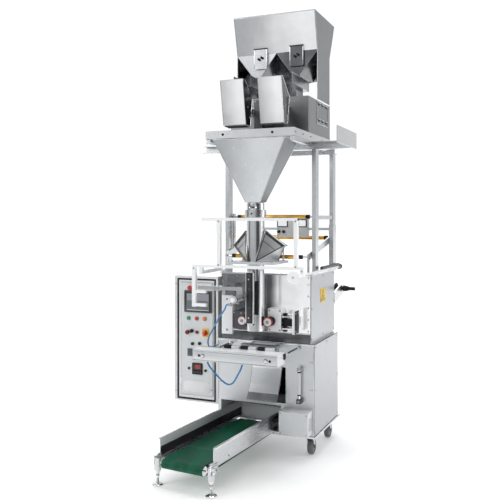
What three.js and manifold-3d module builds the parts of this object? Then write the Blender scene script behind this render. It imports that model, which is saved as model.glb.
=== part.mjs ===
// A vertical form fill sealer: a castered stainless machine with a weigher and hopper above, a forming
// tube, film rollers, pull wheels and sealing jaws in front, a control box at the left and a take-off conveyor.
// Millimetres, +Z up. Assembly coordinates: X = 0 is the forming tube's plane, Y = 0 is the front face of the
// cabinets (the operator stands on the -Y side), Z = 0 is the floor. The group is shifted at the end so that
// its origin is the centre of the footprint, on the floor.
import * as THREE from 'three';
import { mergeVertices } from 'three/addons/utils/BufferGeometryUtils.js';
import Module from 'manifold-3d';

const wasm = await Module();
wasm.setup();

// ---- driving dimensions ----
const GAP = 0.3; // clearance left between pieces that rest on each other
const SHEET = 3; // folded stainless sheet
const ROUND = 24; // sides of the large round pieces
const BASE_Z = 130; // underside of the machine, on its casters
const SHELF_Z = 700; // top of the lower cabinet
const CABINET_TOP = 1128;
const LOWER_HALF = 324; // half width of the lower cabinet
const UPPER_HALF = 299; // half width of the upper cabinet
const DEPTH = 530; // depth of both cabinets
const POST = { x: 297, wide: 25, deep: 60, front: 112, rear: 500, top: 1904 };
const TUBE = { y: -150, radius: 54, wall: 2.5, bottom: 790, top: 1566 };
const TRAY = { half: 285, front: -260, back: 545, bottom: 1954, top: 2003 };
const DRIVE = { half: 265, front: 70, back: 545, top: 2240 };
const HOPPER = { half: 280, rim: 2801, waist: 2560, mouth: 2400, mouthX: 138 };
const WHEEL = { radius: 50, wide: 32, swivelX: 279, front: 71, rear: 432, trail: 22 };
const PULL = { x: 84, z: 847, radius: 29 };
const JAW = { z: 675, half: 120 };
const BOX = { left: -642, right: -325, bottom: 270, top: 1093, depth: 300 };
const DOOR = { left: -594, right: -361, bottom: 314, top: 1051, thick: 6 };
const CONVEYOR = { x: -180, y: -706, yaw: -5.49, length: 936, guard: 175, belt: 132, top: 250 };

// ---- finishes ----
const finish = (color, roughness, metalness) => new THREE.MeshStandardMaterial({ color, roughness, metalness });
const stainless = finish(0xc4c8ca, 0.32, 1);
const polished = finish(0xdfe3e5, 0.12, 1);
const white = finish(0xe9ebea, 0.45, 0);
const black = finish(0x1c1d1f, 0.5, 0);
const rubber = finish(0x3a3c3e, 0.8, 0);
const chrome = finish(0xe8e8e8, 0.08, 1);
const gold = finish(0xd98b22, 0.3, 0.8);
const red = finish(0xc4161c, 0.35, 0);
const green = finish(0x0b7a45, 0.55, 0);
const beltGreen = finish(0x0f6b3f, 0.6, 0);
const blue = finish(0x3f9fd0, 0.35, 0);
const darkGrey = finish(0x55595c, 0.5, 0.4);

// ---- shape helpers: each returns a closed BufferGeometry in place ----
function box(x0, x1, y0, y1, z0, z1) {
  return new THREE.BoxGeometry(x1 - x0, y1 - y0, z1 - z0)
    .translate((x0 + x1) / 2, (y0 + y1) / 2, (z0 + z1) / 2);
}
// A box with the same Y and Z at both sides of X = 0.
const mirrored = (x0, x1, ...rest) => [box(x0, x1, ...rest), box(-x1, -x0, ...rest)];

function extruded(points, depth, basis) {
  const outline = new THREE.Shape(points.map(([a, b]) => new THREE.Vector2(a, b)));
  const geometry = new THREE.ExtrudeGeometry(outline, { depth, bevelEnabled: false });
  return geometry.applyMatrix4(basis);
}
// An outline of (y, z) points, extruded from x0 to x1.
function prismX(points, x0, x1) {
  const basis = new THREE.Matrix4().makeBasis(
    new THREE.Vector3(0, 1, 0), new THREE.Vector3(0, 0, 1), new THREE.Vector3(1, 0, 0));
  return extruded(points, x1 - x0, basis).translate(x0, 0, 0);
}
// An outline of (x, z) points, extruded from y0 to y1.
function prismY(points, y0, y1) {
  const basis = new THREE.Matrix4().makeBasis(
    new THREE.Vector3(1, 0, 0), new THREE.Vector3(0, 0, 1), new THREE.Vector3(0, -1, 0));
  return extruded(points, y1 - y0, basis).translate(0, y1, 0);
}
// An upright cylinder or cone between z0 and z1.
function rodZ(radius, z0, z1, x = 0, y = 0, sides = 14, topRadius = radius) {
  return new THREE.CylinderGeometry(topRadius, radius, z1 - z0, sides)
    .rotateX(Math.PI / 2).translate(x, y, (z0 + z1) / 2);
}
function rodY(radius, y0, y1, x = 0, z = 0, sides = 12) {
  return new THREE.CylinderGeometry(radius, radius, y1 - y0, sides).translate(x, (y0 + y1) / 2, z);
}
function rodX(radius, x0, x1, y = 0, z = 0, sides = 12) {
  return new THREE.CylinderGeometry(radius, radius, x1 - x0, sides)
    .rotateZ(Math.PI / 2).translate((x0 + x1) / 2, y, z);
}
// A box whose corners are moved to a lower and an upper rectangle, each [x0, x1, y0, y1, z].
function tapered(lower, upper) {
  const geometry = new THREE.BoxGeometry(2, 2, 2);
  const at = geometry.attributes.position;
  for (let i = 0; i < at.count; i++) {
    const [x0, x1, y0, y1, z] = at.getZ(i) < 0 ? lower : upper;
    at.setXYZ(i, at.getX(i) < 0 ? x0 : x1, at.getY(i) < 0 ? y0 : y1, z);
  }
  return geometry;
}
// A plate with the four given corners, thickened along the given vector.
function plate(corners, thickness) {
  const [first, second, , fourth] = corners.map((corner) => new THREE.Vector3(...corner));
  const facing = second.sub(first).cross(fourth.sub(first)).dot(new THREE.Vector3(...thickness));
  const ring = facing > 0 ? corners : [...corners].reverse();
  const geometry = new THREE.BoxGeometry(2, 2, 2);
  const at = geometry.attributes.position;
  for (let i = 0; i < at.count; i++) {
    const column = at.getX(i) < 0 ? 0 : 1;
    const corner = ring[at.getY(i) < 0 ? column : 3 - column];
    const push = at.getZ(i) < 0 ? 0 : 1;
    at.setXYZ(i, ...corner.map((value, axis) => value + push * thickness[axis]));
  }
  return geometry;
}

// ---- booleans ----
function toSolid(geometry) {
  const bare = geometry.clone();
  bare.deleteAttribute('normal');
  bare.deleteAttribute('uv');
  const merged = mergeVertices(bare, 1e-4);
  return new wasm.Manifold(new wasm.Mesh({
    numProp: 3,
    vertProperties: new Float32Array(merged.attributes.position.array),
    triVerts: new Uint32Array(merged.index.array),
  }));
}
const asSolid = (shape) => (shape.isBufferGeometry ? toSolid(shape) : shape);
const fuse = (...shapes) => shapes.flat().map(asSolid).reduce((all, next) => all.add(next));
const carve = (shape, ...tools) => tools.flat().map(asSolid)
  .reduce((left, tool) => left.subtract(tool), asSolid(shape));

function toGeometry(shape) {
  const mesh = asSolid(shape).getMesh();
  const geometry = new THREE.BufferGeometry();
  const positions = new Float32Array(mesh.numVert * 3);
  for (let i = 0; i < mesh.numVert; i++) {
    for (let axis = 0; axis < 3; axis++) {
      positions[i * 3 + axis] = mesh.vertProperties[i * mesh.numProp + axis];
    }
  }
  geometry.setAttribute('position', new THREE.BufferAttribute(positions, 3));
  geometry.setIndex(new THREE.BufferAttribute(new Uint32Array(mesh.triVerts), 1));
  geometry.computeVertexNormals();
  return geometry;
}

const machine = new THREE.Group();
function add(name, shape, material, parent = machine) {
  const mesh = new THREE.Mesh(toGeometry(shape), material);
  mesh.name = name;
  parent.add(mesh);
  return mesh;
}
function groupAt(x, y, z, parent = machine) {
  const group = new THREE.Group();
  group.position.set(x, y, z);
  parent.add(group);
  return group;
}

// ---- cabinets ----
function lowerCabinet() {
  const wall = 4;
  const chuteMouth = box(-84, 140, -10, 20, 322, 620);
  const conveyorMouth = box(-302, 110, -10, 20, BASE_Z, 306);
  const accessHole = box(LOWER_HALF - 10, LOWER_HALF + 10, 50, DEPTH - 50, 200, 650);
  const floorNotch = [[-252, 44, -20], [-284, 84, 82]]
    .map(([x0, x1, y0]) => box(x0, x1, y0, 215, BASE_Z - 20, BASE_Z + 20));
  const jawRodHoles = [-228, -90, 90, 228].map((x) => rodY(11, -10, 20, x, JAW.z));
  const shell = carve(
    box(-LOWER_HALF, LOWER_HALF, 0, DEPTH, BASE_Z, SHELF_Z),
    box(-LOWER_HALF + wall, LOWER_HALF - wall, wall, DEPTH - wall, BASE_Z + 6, SHELF_Z - wall),
  );
  const flange = box(-332, 332, -6, 556, BASE_Z, BASE_Z + 6);
  const casterPads = [-1, 1].flatMap((side) => [WHEEL.front, WHEEL.rear].map((y) => {
    const x = side * WHEEL.swivelX;
    return box(x - 34, x + 34, y - 34, y + 34, BASE_Z - 4, BASE_Z + 3);
  }));
  const tunnel = [box(-308, 114, 246, 249, BASE_Z + 5, 313), box(-308, 114, 3, 249, 310, 313),
    box(-308, -305, 3, 249, BASE_Z + 5, 313), box(111, 114, 3, 249, BASE_Z + 5, 313)];
  return carve(fuse(shell, flange, ...casterPads, ...tunnel), chuteMouth, conveyorMouth, accessHole, floorNotch, jawRodHoles);
}

function upperCabinet() {
  const wall = 4;
  const floor = SHELF_Z + GAP;
  const shell = carve(
    box(-UPPER_HALF, UPPER_HALF, 5, DEPTH, floor, CABINET_TOP),
    box(-UPPER_HALF + wall, UPPER_HALF - wall, 5 + wall, DEPTH - wall, floor + wall, CABINET_TOP - 8),
  );
  const topFlange = box(-312, 312, 4, DEPTH + 12, CABINET_TOP - 8, CABINET_TOP);
  const accessHole = box(UPPER_HALF - 10, UPPER_HALF + 10, 60, 470, 760, 1070);
  return carve(fuse(shell, topFlange), accessHole);
}

// ---- uprights and platform ----
function postFrame(side) {
  const x = side * POST.x;
  const low = CABINET_TOP + GAP;
  const tube = (y) => {
    const [wide, deep] = [POST.wide / 2, POST.deep / 2];
    return box(x - wide, x + wide, y - deep, y + deep, low, POST.top);
  };
  const bore = (y) => box(x - 10, x + 10, y - POST.deep / 2 + 2.5, y + POST.deep / 2 - 2.5, low - 5, POST.top + 5);
  const rail = box(x - 10, x + 10, POST.front, POST.rear, 1466, 1491);
  const sleeve = box(x - 15, x + 15, POST.rear - 34, POST.rear + 34, low, 1430);
  return carve(fuse(tube(POST.front), tube(POST.rear), rail, sleeve), bore(POST.front), bore(POST.rear));
}

function platformFrame() {
  const low = POST.top + GAP;
  const high = TRAY.bottom - GAP;
  const mainBeam = carve(box(-480, 545, 92, 150, low, high), box(-490, 555, 80, 144, low + 6, high - 6));
  const rearBeam = carve(box(-320, 320, 470, 528, low, high), box(-330, 330, 476, 540, low + 6, high - 6));
  const rails = mirrored(258, 284, -250, 528, 1925, high);
  const wing = box(545, 551, -284, 150, low - 4, high + 44);
  return fuse(mainBeam, rearBeam, rails, wing, box(530, 546, 92, 150, low, high));
}

// ---- weigher ----
function weigherTray() {
  const { half, front, back, bottom, top } = TRAY;
  const hollow = box(-half + SHEET, half - SHEET, front + SHEET, back - SHEET, bottom + SHEET, top + 10);
  const outlet = box(-205, 205, -240, -45, bottom - 10, bottom + 10);
  const deck = box(-half + 1, half - 1, DRIVE.front - 60, back - 1, top - SHEET, top - GAP);
  const cableHole = box(-90, 90, 150, 400, top - 10, top + 10);
  return fuse(carve(box(-half, half, front, back, bottom, top), hollow, outlet), carve(deck, cableHole));
}

function weigherDriveBox() {
  const low = TRAY.top;
  const shell = carve(
    box(-DRIVE.half, DRIVE.half, DRIVE.front, DRIVE.back, low, DRIVE.top),
    box(-DRIVE.half + SHEET, DRIVE.half - SHEET, DRIVE.front + SHEET, DRIVE.back - SHEET, low - 1, DRIVE.top - SHEET),
  );
  const louvres = [2120, 2225].flatMap((z) => [270, 350, 430]
    .map((y) => box(DRIVE.half - 8, DRIVE.half + 8, y, y + 46, z - 14, z)));
  const arms = mirrored(100, 144, -84, DRIVE.front + 1, 2140, 2172);
  return fuse(carve(shell, louvres), arms);
}

function hopper() {
  const { half, rim, waist, mouth, mouthX } = HOPPER;
  const body = (inset, lift) => fuse(
    tapered([-half + inset, half - inset, 213 + inset, 489 - inset, waist - 1],
      [-half + inset, half - inset, 150 + inset, 603 - inset, rim + lift]),
    ...[-1, 1].map((side) => {
      const outer = side * (half - inset);
      const inner = side * inset;
      const foot = [side * (mouthX + 22 - inset), side * (mouthX - 22 + inset)];
      const outline = [[outer, waist], [foot[0], mouth - lift], [foot[1], mouth - lift], [inner, waist]];
      return prismY(side > 0 ? outline : outline.reverse(), 213 + inset, 489 - inset);
    }),
  );
  const cheeks = mirrored(half - SHEET, half, 213, 489, DRIVE.top + GAP, waist + 5);
  return fuse(carve(body(0, 0), body(SHEET, 2)), cheeks);
}

function hopperGate(side) {
  const x = 18 + side * 125;
  const knobs = [-10, 10].map((dx) => rodY(7.5, 182, 199, x + dx, 2528 + dx / 2, 12));
  return fuse(
    box(x - 46, x + 46, 198, 201, 2460, 2594),
    box(x - 48, x + 48, 190, 201, 2591, 2594),
    ...knobs,
  );
}

function feederPans() {
  const trough = (side) => {
    const [a, b] = side < 0 ? [-196, -78] : [78, 196];
    return carve(box(a, b, -40, 300, 2304, 2372), box(a + SHEET, b - SHEET, -50, 300 - SHEET, 2307, 2380));
  };
  const drives = mirrored(100, 170, 110, 250, DRIVE.top + GAP, 2306);
  return fuse(trough(-1), trough(1), box(-170, 170, 150, 200, 2270, 2290), ...drives);
}

function weighBucket(side) {
  const x = side * 122;
  const outline = [[-190, 2042], [-124, 2042], [-92, 2215], [-215, 2316], [-240, 2311]];
  const inside = [[-188, 2032], [-127, 2032], [-96, 2214], [-215, 2312], [-236, 2307]];
  const chamber = prismX(inside, x - 72, x + 72);
  return carve(prismX(outline, x - 75, x + 75), chamber);
}

function bucketFlap(side) {
  const x = side * 122;
  return fuse(box(x - 71, x + 71, -187, -127, 2036, 2039), rodX(4, x - 71, x + 71, -127, 2036, 12));
}

// ---- forming set ----
function productFunnel() {
  const top = TRAY.bottom - 4;
  const shape = (inset, lift) => tapered(
    [-48 + inset, 48 - inset, TUBE.y - 48 + inset, TUBE.y + 48 - inset, 1570 - lift],
    [-232 + inset, 228 - inset, -262 + inset, -22 - inset, top + lift]);
  const neck = rodZ(49, 1545, 1590, 0, TUBE.y, ROUND);
  return carve(fuse(shape(0, 0), neck), shape(2.5, 0.5), rodZ(46, 1540, 1600, 0, TUBE.y, ROUND));
}

function formingTube() {
  const { y, radius, wall, bottom, top } = TUBE;
  const windows = box(-26, 26, y - 80, y + 80, 1534, 1560);
  const ring = carve(rodZ(66, 1478, 1524, 0, y, ROUND), rodZ(radius - 1, 1470, 1530, 0, y, ROUND));
  const pipe = fuse(rodZ(radius, bottom, top, 0, y, ROUND), ring);
  return carve(pipe, rodZ(radius - wall, bottom - 10, top + 10, 0, y, ROUND), windows);
}

function formingCollar() {
  const wing = (s) => plate([
    [s * 66, -150, 1392], [s * 168, -96, 1302], [s * 112, -58, 1208], [s * 27, -224, 1206],
  ], [s * 1, -2.5, 5]);
  const back = (s) => plate([
    [s * 66, -153, 1391], [s * 167, -99, 1301], [s * 150, 10, 1298], [s * 28, -78, 1398],
  ], [0, 0, 5]);
  const yoke = carve(box(-150, 150, -226, 24, 1196, 1211), rodZ(TUBE.radius + 2, 1180, 1220, 0, TUBE.y, ROUND));
  return fuse(wing(1), wing(-1), back(1), back(-1), yoke, box(-31, 31, -84, -74, 1205, 1403));
}

// ---- film path ----
const ROLLERS = {
  film_roller_top: { y: 150, z: 1483, reach: 250, radius: 13 },
  film_roller_low: { y: 38, z: 1232, reach: 240, radius: 13 },
  film_roller_rear: { y: 553, z: 1339, reach: 250, radius: 15 },
};

function filmFrame() {
  const cheek = (s) => {
    const [a, b] = s < 0 ? [-281, -273] : [273, 281];
    return fuse(
      prismX([[18, 1214], [44, 1214], [575, 1322], [575, 1358], [540, 1358], [18, 1252]], a, b),
      box(a, b, 134, 166, 1230, 1504),
      box(a, b, 500, 524, 1320, 1420),
    );
  };
  const bores = Object.values(ROLLERS).map(({ y, z }) => rodX(7, -300, 300, y, z));
  const crossbar = box(-276, 276, 506, 518, 1392, 1408);
  const panel = box(-105, 130, 500, 507, 1342, 1470);
  const feet = mirrored(273, 281, 18, 44, CABINET_TOP + GAP, 1240);
  return fuse(carve(fuse(cheek(1), cheek(-1), ...feet), bores), crossbar, panel);
}

function filmRoller({ reach, radius }) {
  return fuse(rodX(radius, -reach, reach, 0, 0, 16), rodX(6, -281, 281, 0, 0));
}

function reelStand() {
  const outline = [[536, 890], [536, 966], [690, 1002], [800, 1002], [800, 962], [760, 940]];
  const brackets = [[291, 303], [-303, -291]].map(([a, b]) => prismX(outline, a, b));
  const back = box(-303, 303, DEPTH + GAP, 537, 890, 966);
  return carve(fuse(back, ...brackets), rodX(13, -320, 320, 740, 975));
}

function reelShaft() {
  return fuse(rodX(12, -340, 392, 0, 0), rodX(20, 308, 336, 0, 0), rodX(20, -336, -308, 0, 0));
}

// ---- guard frame: white square tube and the long side rail ----
function guardFrame() {
  const y = -235;
  const t = 12;
  const bar = (x0, x1, z) => box(x0, x1, y - t, y + t, z - 9, z + 9);
  const upright = (x, z0, z1) => box(x - t, x + t, y - t, y + t, z0, z1);
  const rail = box(320, 335, -360, 548, 1136, 1151);
  const leftRail = box(-338, -316, y - t, 60, 1132, 1154);
  const ties = [40, 420].map((at) => box(290, 322, at - 18, at + 18, 1130, 1145));
  return fuse(
    bar(-318, 301, 1467), bar(-386, 338, 1180),
    upright(-206, 1180, 1467), upright(289, 1180, 1467), upright(-374, 928, 1180),
    bar(-386, -292, 1022), bar(-386, -292, 940),
    rail, leftRail, upright(327, 1135, 1180), upright(-327, 1132, 1180),
    box(-318, -290, 24, 60, 1130, 1145), ...ties,
    rodY(36, -372, -360, 318, 1140, 24), box(318, 336, 150, 540, 1150, 1163),
    rodY(17, 546, 580, 327, 1143),
  );
}

// ---- film pull units ----
function pullUnitRight() {
  const block = box(60, 147, -100, -25, 782, 920);
  const rods = [800, 872].flatMap((z) => [-84, -40].map((y) => rodX(7, 140, 230, y, z, 12)));
  return carve(fuse(
    block, box(146, 226, -76, -48, 815, 858), box(225, 240, -120, -44, 775, 915),
    box(70, 140, -26, -GAP, 800, 900), ...rods,
  ), rodY(9, -110, -30, PULL.x, PULL.z));
}

function pullUnitLeft() {
  const housing = box(-176, -62, -100, -GAP, 790, 893);
  const cover = box(-247, -175, -108, -92, 750, 990);
  const hanger = fuse(box(-247, -200, -222, -92, 1030, 1056), box(-247, -222, -108, -92, 985, 1056));
  const bar = box(-352, -56, -232, -214, 1036, 1058);
  const cylinder = rodY(22, -330, -200, -72, 992, 20);
  const cap = rodY(15, -342, -328, -72, 992, 20);
  const lug = box(-92, -52, -232, -214, 992, 1040);
  const ports = [-322, -228].flatMap((y) => [rodZ(7, 955, 975, -82, y, 12), rodX(7, -104, -82, y, 962)]);
  return carve(fuse(housing, cover, hanger, bar, cylinder, cap, lug, ...ports),
    rodY(9, -110, -30, -PULL.x, PULL.z));
}

function pullRoller() {
  const hub = rodY(20, -22, -18, 0, 0);
  return fuse(rodY(PULL.radius, -18, 38, 0, 0, 24), hub, rodY(8, -26, 108, 0, 0));
}

// ---- sealing ----
function verticalSealBar() {
  const guides = [880, 1110].map((z) => rodY(5, -262, -240, 0, z, 12));
  return fuse(box(-15, 15, -232, -208, 831, 1162), box(-24, 24, -246, -231, 846, 1148), ...guides);
}

function jawCrosshead() {
  const front = box(-300, 236, -402, -398, 633, 698);
  const lid = box(-300, 236, -402, -290, 694, 698);
  const ends = [box(-300, -296, -402, -288, 633, 698), box(232, 236, -402, -288, 633, 698)];
  const jaw = box(-JAW.half, JAW.half, -240, -196, 655, 692);
  const webs = [-100, 90].map((x) => box(x, x + 10, -400, -235, 660, 690));
  const slides = [-228, 228].map((x) => rodY(9, -400, 24, x, JAW.z));
  const yokes = [[-240, -110], [110, 240]].map(([a, b]) => box(a, b, -300, -270, 662, 688));
  const hosePorts = [-215, 9].map((x) => rodZ(7, 640, 695, x, -375, 12));
  return fuse(front, lid, ...ends, jaw, ...webs, ...slides, ...yokes, ...hosePorts);
}

function rearJaw() {
  return fuse(box(-JAW.half, JAW.half, -104, -62, 655, 692), ...[-90, 90].map((x) => rodY(9, -70, 36, x, JAW.z)));
}

function dischargeChute() {
  const [left, right] = [-82, 117];
  const front = [[46, 606], [18, 578], [2, 552], [-8, 533], [-24, 490], [-45, 439], [-72, 392], [-100, 350]];
  const sheet = [...front, ...front.map(([y, z]) => [y + 2.6, z - 1.5]).reverse()];
  const lugs = [[left - 32, left + SHEET], [right - SHEET, right + 44]].map(([a, b]) => box(a, b, 4.4, 7.4, 545, 612));
  const gussets = [left, right - SHEET].map((x) => prismX([[4.4, 550], [60, 608], [4.4, 612]], x, x + SHEET));
  return fuse(prismX(sheet, left, right), ...lugs, ...gussets);
}

function motorCoverBox() {
  const outer = box(132, 315, -100, -GAP, 160, 300);
  return carve(outer, box(135, 312, -97, 10, 163, 297));
}

function driveMotor() {
  const gearbox = box(-70, 60, 300, 430, BASE_Z + 6 + GAP, 300);
  const motor = rodX(58, 60, 250, 365, 225, 24);
  const fanCover = rodX(50, 250, 275, 365, 225, 24);
  const outputShaft = rodX(14, -110, -70, 365, 225);
  return fuse(gearbox, motor, fanCover, outputShaft);
}

// ---- casters ----
function casterFork() {
  const cheek = [[-22, 118], [22, 118], [WHEEL.trail + 12, 58], [WHEEL.trail + 8, 40], [WHEEL.trail - 10, 40],
    [WHEEL.trail - 13, 60]];
  const cheeks = [[18, 22], [-22, -18]].map(([a, b]) => prismX(cheek, a, b));
  return fuse(...cheeks, box(-22, 22, -22, 22, 110, 118), rodZ(28, 112, 125.6, 0, 0, 20),
    rodX(6, -26, 26, WHEEL.trail, WHEEL.radius));
}

function casterWheel() {
  const { radius, wide } = WHEEL;
  const half = wide / 2;
  const profile = [[6.6, -half], [radius - 6, -half], [radius, -half + 6], [radius, half - 6],
    [radius - 6, half], [6.6, half], [6.6, -half]];
  return new THREE.LatheGeometry(profile.map(([r, h]) => new THREE.Vector2(r, h)), ROUND).rotateZ(-Math.PI / 2);
}

// ---- control box ----
const BUTTONS = {
  emergency_stop: { x: -521, z: 1017, radius: 14.5, travel: 5, material: red },
  start_button: { x: -537, z: 816, radius: 10.5, travel: 3, material: green },
  stop_button: { x: -477, z: 816, radius: 10.5, travel: 3, material: red },
};
const SWITCH = { x: -413, z: 726 };
const DOOR_FACE = -3; // Y of the door's outer face

function controlBox() {
  const { left, right, bottom, top, depth } = BOX;
  const shell = carve(box(left, right, 0, depth, bottom, top),
    box(left + SHEET, right - SHEET, SHEET, depth - SHEET, bottom + SHEET, top - SHEET));
  const mouth = box(DOOR.left - 3, DOOR.right + 3, -5, 10, DOOR.bottom - 3, DOOR.top + 3);
  const gasket = carve(
    box(DOOR.left - 28, DOOR.right + 20, -2, 1, DOOR.bottom - 32, DOOR.top + 26),
    box(DOOR.left - 17, DOOR.right + 15, -5, 5, DOOR.bottom - 21, DOOR.top + 21));
  const hosePort = rodY(8, -22, 2, -334, 650);
  return carve(fuse(shell, gasket, hosePort), mouth);
}

function controlDoor() {
  const face = DOOR_FACE;
  const panel = box(DOOR.left, DOOR.right, face, face + DOOR.thick, DOOR.bottom, DOOR.top);
  const raised = (x0, x1, z0, z1, proud) => box(x0, x1, face - proud, face + 1, z0, z1);
  const cap = (x, z, radius, proud) => rodY(radius, face - proud, face + 1, x, z);
  const holes = [...Object.values(BUTTONS).map(({ x, z }) => rodY(11.2, -40, 20, x, z)),
    rodY(7, -40, 20, SWITCH.x, SWITCH.z)];
  const bezels = Object.values(BUTTONS).map(({ x, z }) => cap(x, z, 14, 3));
  return carve(fuse(
    panel, ...bezels,
    raised(-566, -368, 857, 999, 7), // operator screen
    raised(-508, -436, 452, 524, 6), // temperature controller
    raised(SWITCH.x - 25, SWITCH.x + 25, SWITCH.z - 25, SWITCH.z + 25, 2), // plate under the main switch
    raised(-574, -384, 335, 405, 1), // blank plate
    raised(-544, -508, 568, 616, 3), // small selector plate
    cap(-419, 817, 13, 9), cap(-542, 724, 14, 16), cap(-511, 734, 12, 14), cap(-474, 727, 11, 9),
    cap(-507, 650, 10, 12), cap(-455, 654, 10, 12), cap(-533, 487, 8, 8), cap(-412, 480, 8, 8),
  ), holes);
}

function pushButton({ radius, travel }) {
  const proud = travel + 3.6; // the head stays clear of its bezel when pressed
  return radius > 11 ? fuse(rodY(radius, -proud - 15, -proud, 0, 0, 20), rodY(10.5, -proud - 1, 14, 0, 0))
    : rodY(radius, -proud - 3, 14, 0, 0);
}

function mainSwitch() {
  return fuse(rodY(6.3, -4, 14, 0, 0), rodY(17, -14, -3, 0, 0, 20), box(-6, 6, -24, -13, -17, 17));
}

// ---- conveyor, in its own frame: X across, Y from its front end towards the machine ----
const BELT = { thick: 1.5, front: { y: -24, z: 124.7, radius: 25.5 }, rear: { y: 838, z: 129.2, radius: 21 } };

function conveyorFrame() {
  const { guard, length, top } = CONVEYOR;
  const bed = box(-guard, guard, 10, 815, 141, 149.5);
  const sides = [-1, 1].flatMap((s) => {
    const [a, b] = s < 0 ? [-guard, -guard + SHEET] : [guard - SHEET, guard];
    const lip = s < 0 ? box(a - 10, a + 1, 0, length, top - 3, top) : box(b - 1, b + 10, 0, length, top - 3, top);
    const skirt = s < 0 ? box(b - 1, b + 16, 0, length, 155, 158) : box(a - 16, a + 1, 0, length, 155, 158);
    return [box(a, b, 0, length, 140, top), lip, skirt];
  });
  const legs = [-173, 173].flatMap((x) => [
    rodZ(13, 66, 84, x, -24, 16, 20), rodZ(20, 84, 150, x, -24), box(x - 3, x + 3, -24, 6, 136, 170),
  ]);
  const bearings = [-1, 1].map((s) => box(s * 165 - 7, s * 165 + 7, 815, 860, 112, 146));
  const endBar = box(1 - guard, guard - 1, length - 16, length, 236, top);
  const shaftHoles = [rodX(8, -250, 250, BELT.front.y, BELT.front.z), rodX(8, -250, 250, BELT.rear.y, BELT.rear.z)];
  const footHoles = [-173, 173].map((x) => rodZ(6.6, 50, 110, x, -24, 12));
  return carve(fuse(bed, endBar, ...sides, ...legs, ...bearings), shaftHoles, footHoles);
}

function beltLoop(grow) {
  const { front, rear } = BELT;
  const outline = [];
  const arc = ({ y, radius, z }, from, to) => {
    for (let i = 0; i <= 12; i++) {
      const angle = THREE.MathUtils.degToRad(from + ((to - from) * i) / 12);
      outline.push([y + Math.cos(angle) * (radius + grow), z + Math.sin(angle) * (radius + grow)]);
    }
  };
  arc(front, 90, 270);
  arc(rear, -90, 90);
  return outline;
}

function conveyorBelt() {
  const { belt } = CONVEYOR;
  return carve(prismX(beltLoop(GAP + BELT.thick), -belt, belt), prismX(beltLoop(GAP), -belt - 5, belt + 5));
}

function beltRoller({ radius }, shaftReach) {
  return fuse(rodX(radius, -CONVEYOR.belt - 1, CONVEYOR.belt + 1, 0, 0, 24), rodX(7, -shaftReach, shaftReach, 0, 0));
}

function conveyorFoot() {
  return fuse(rodZ(32, 0, 6, 0, 0, 24, 30), rodZ(30, 6, 14, 0, 0, 24, 10), rodZ(6, 10, 100, 0, 0, 12));
}

// ---- hoses: each route is a smooth curve through hand-placed points ----
const HOSE_RADIUS = 5;
const UPPER_HOSE = [
  [-104.8, -322, 962], [-112, -322, 961.5], [-124, -316, 951], [-136, -304, 931], [-165, -284, 902], [-193, -262, 872],
  [-228, -232, 833], [-258, -205, 794], [-285, -185, 765], [-306, -168, 738], [-320, -156, 712],
  [-329, -138, 682], [-334, -110, 662], [-334, -70, 652], [-334, -22.4, 650],
];
const LOWER_HOSE = [
  [-215, -375, 639.3], [-215, -375, 628], [-210, -375, 610], [-195, -375, 590], [-160, -375, 556], [-118, -375, 520],
  [-78, -375, 503], [-48, -375, 518], [-24, -375, 556], [-4, -375, 592], [5, -375, 614], [9, -375, 628], [9, -375, 639.3],
];
function hose(points) {
  const route = new THREE.CatmullRomCurve3(points.map((p) => new THREE.Vector3(...p)));
  const section = new THREE.Shape();
  section.absarc(0, 0, HOSE_RADIUS, 0, Math.PI * 2);
  return new THREE.ExtrudeGeometry(section, {
    steps: 16, curveSegments: 4, bevelEnabled: false, extrudePath: route,
  });
}

// ---- assembly ----
add('lower_cabinet', lowerCabinet(), stainless);
add('lower_side_panel', box(LOWER_HALF + GAP, LOWER_HALF + GAP + SHEET, 4, DEPTH - 4, 140, SHELF_Z - 4), stainless);
add('upper_cabinet', upperCabinet(), stainless);
add('upper_side_panel', box(UPPER_HALF + GAP, UPPER_HALF + GAP + SHEET, 12, DEPTH - 6, 712, 1116), stainless);
add('front_plate', box(-UPPER_HALF, UPPER_HALF, 0, 5 - GAP, 765, CABINET_TOP - 10), polished);
add('motor_cover_box', motorCoverBox(), stainless);
add('drive_motor', driveMotor(), darkGrey);
add('post_frame_left', postFrame(-1), stainless);
add('post_frame_right', postFrame(1), stainless);
add('platform_frame', platformFrame(), stainless);
add('weigher_tray', weigherTray(), stainless);
add('weigher_drive_box', weigherDriveBox(), stainless);
add('hopper', hopper(), polished);
add('feeder_pans', feederPans(), stainless);
add('product_funnel', productFunnel(), stainless);
add('forming_tube', formingTube(), polished);
add('forming_collar', formingCollar(), stainless);
add('film_frame', filmFrame(), stainless);
add('reel_stand', reelStand(), stainless);
add('reel_shaft', reelShaft(), black, groupAt(0, 740, 975));
add('guard_frame', guardFrame(), white);
add('pull_unit_left', pullUnitLeft(), stainless);
add('pull_unit_right', pullUnitRight(), stainless);
add('vertical_seal_bar', verticalSealBar(), darkGrey);
add('jaw_crosshead', jawCrosshead(), stainless);
add('rear_jaw', rearJaw(), darkGrey);
add('discharge_chute', dischargeChute(), stainless);
add('control_box', controlBox(), white);
add('control_door', controlDoor(), white);
add('main_switch', mainSwitch(), red, groupAt(SWITCH.x, DOOR_FACE, SWITCH.z));
add('hose_upper', hose(UPPER_HOSE), blue);
add('hose_lower', hose(LOWER_HOSE), blue);

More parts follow.
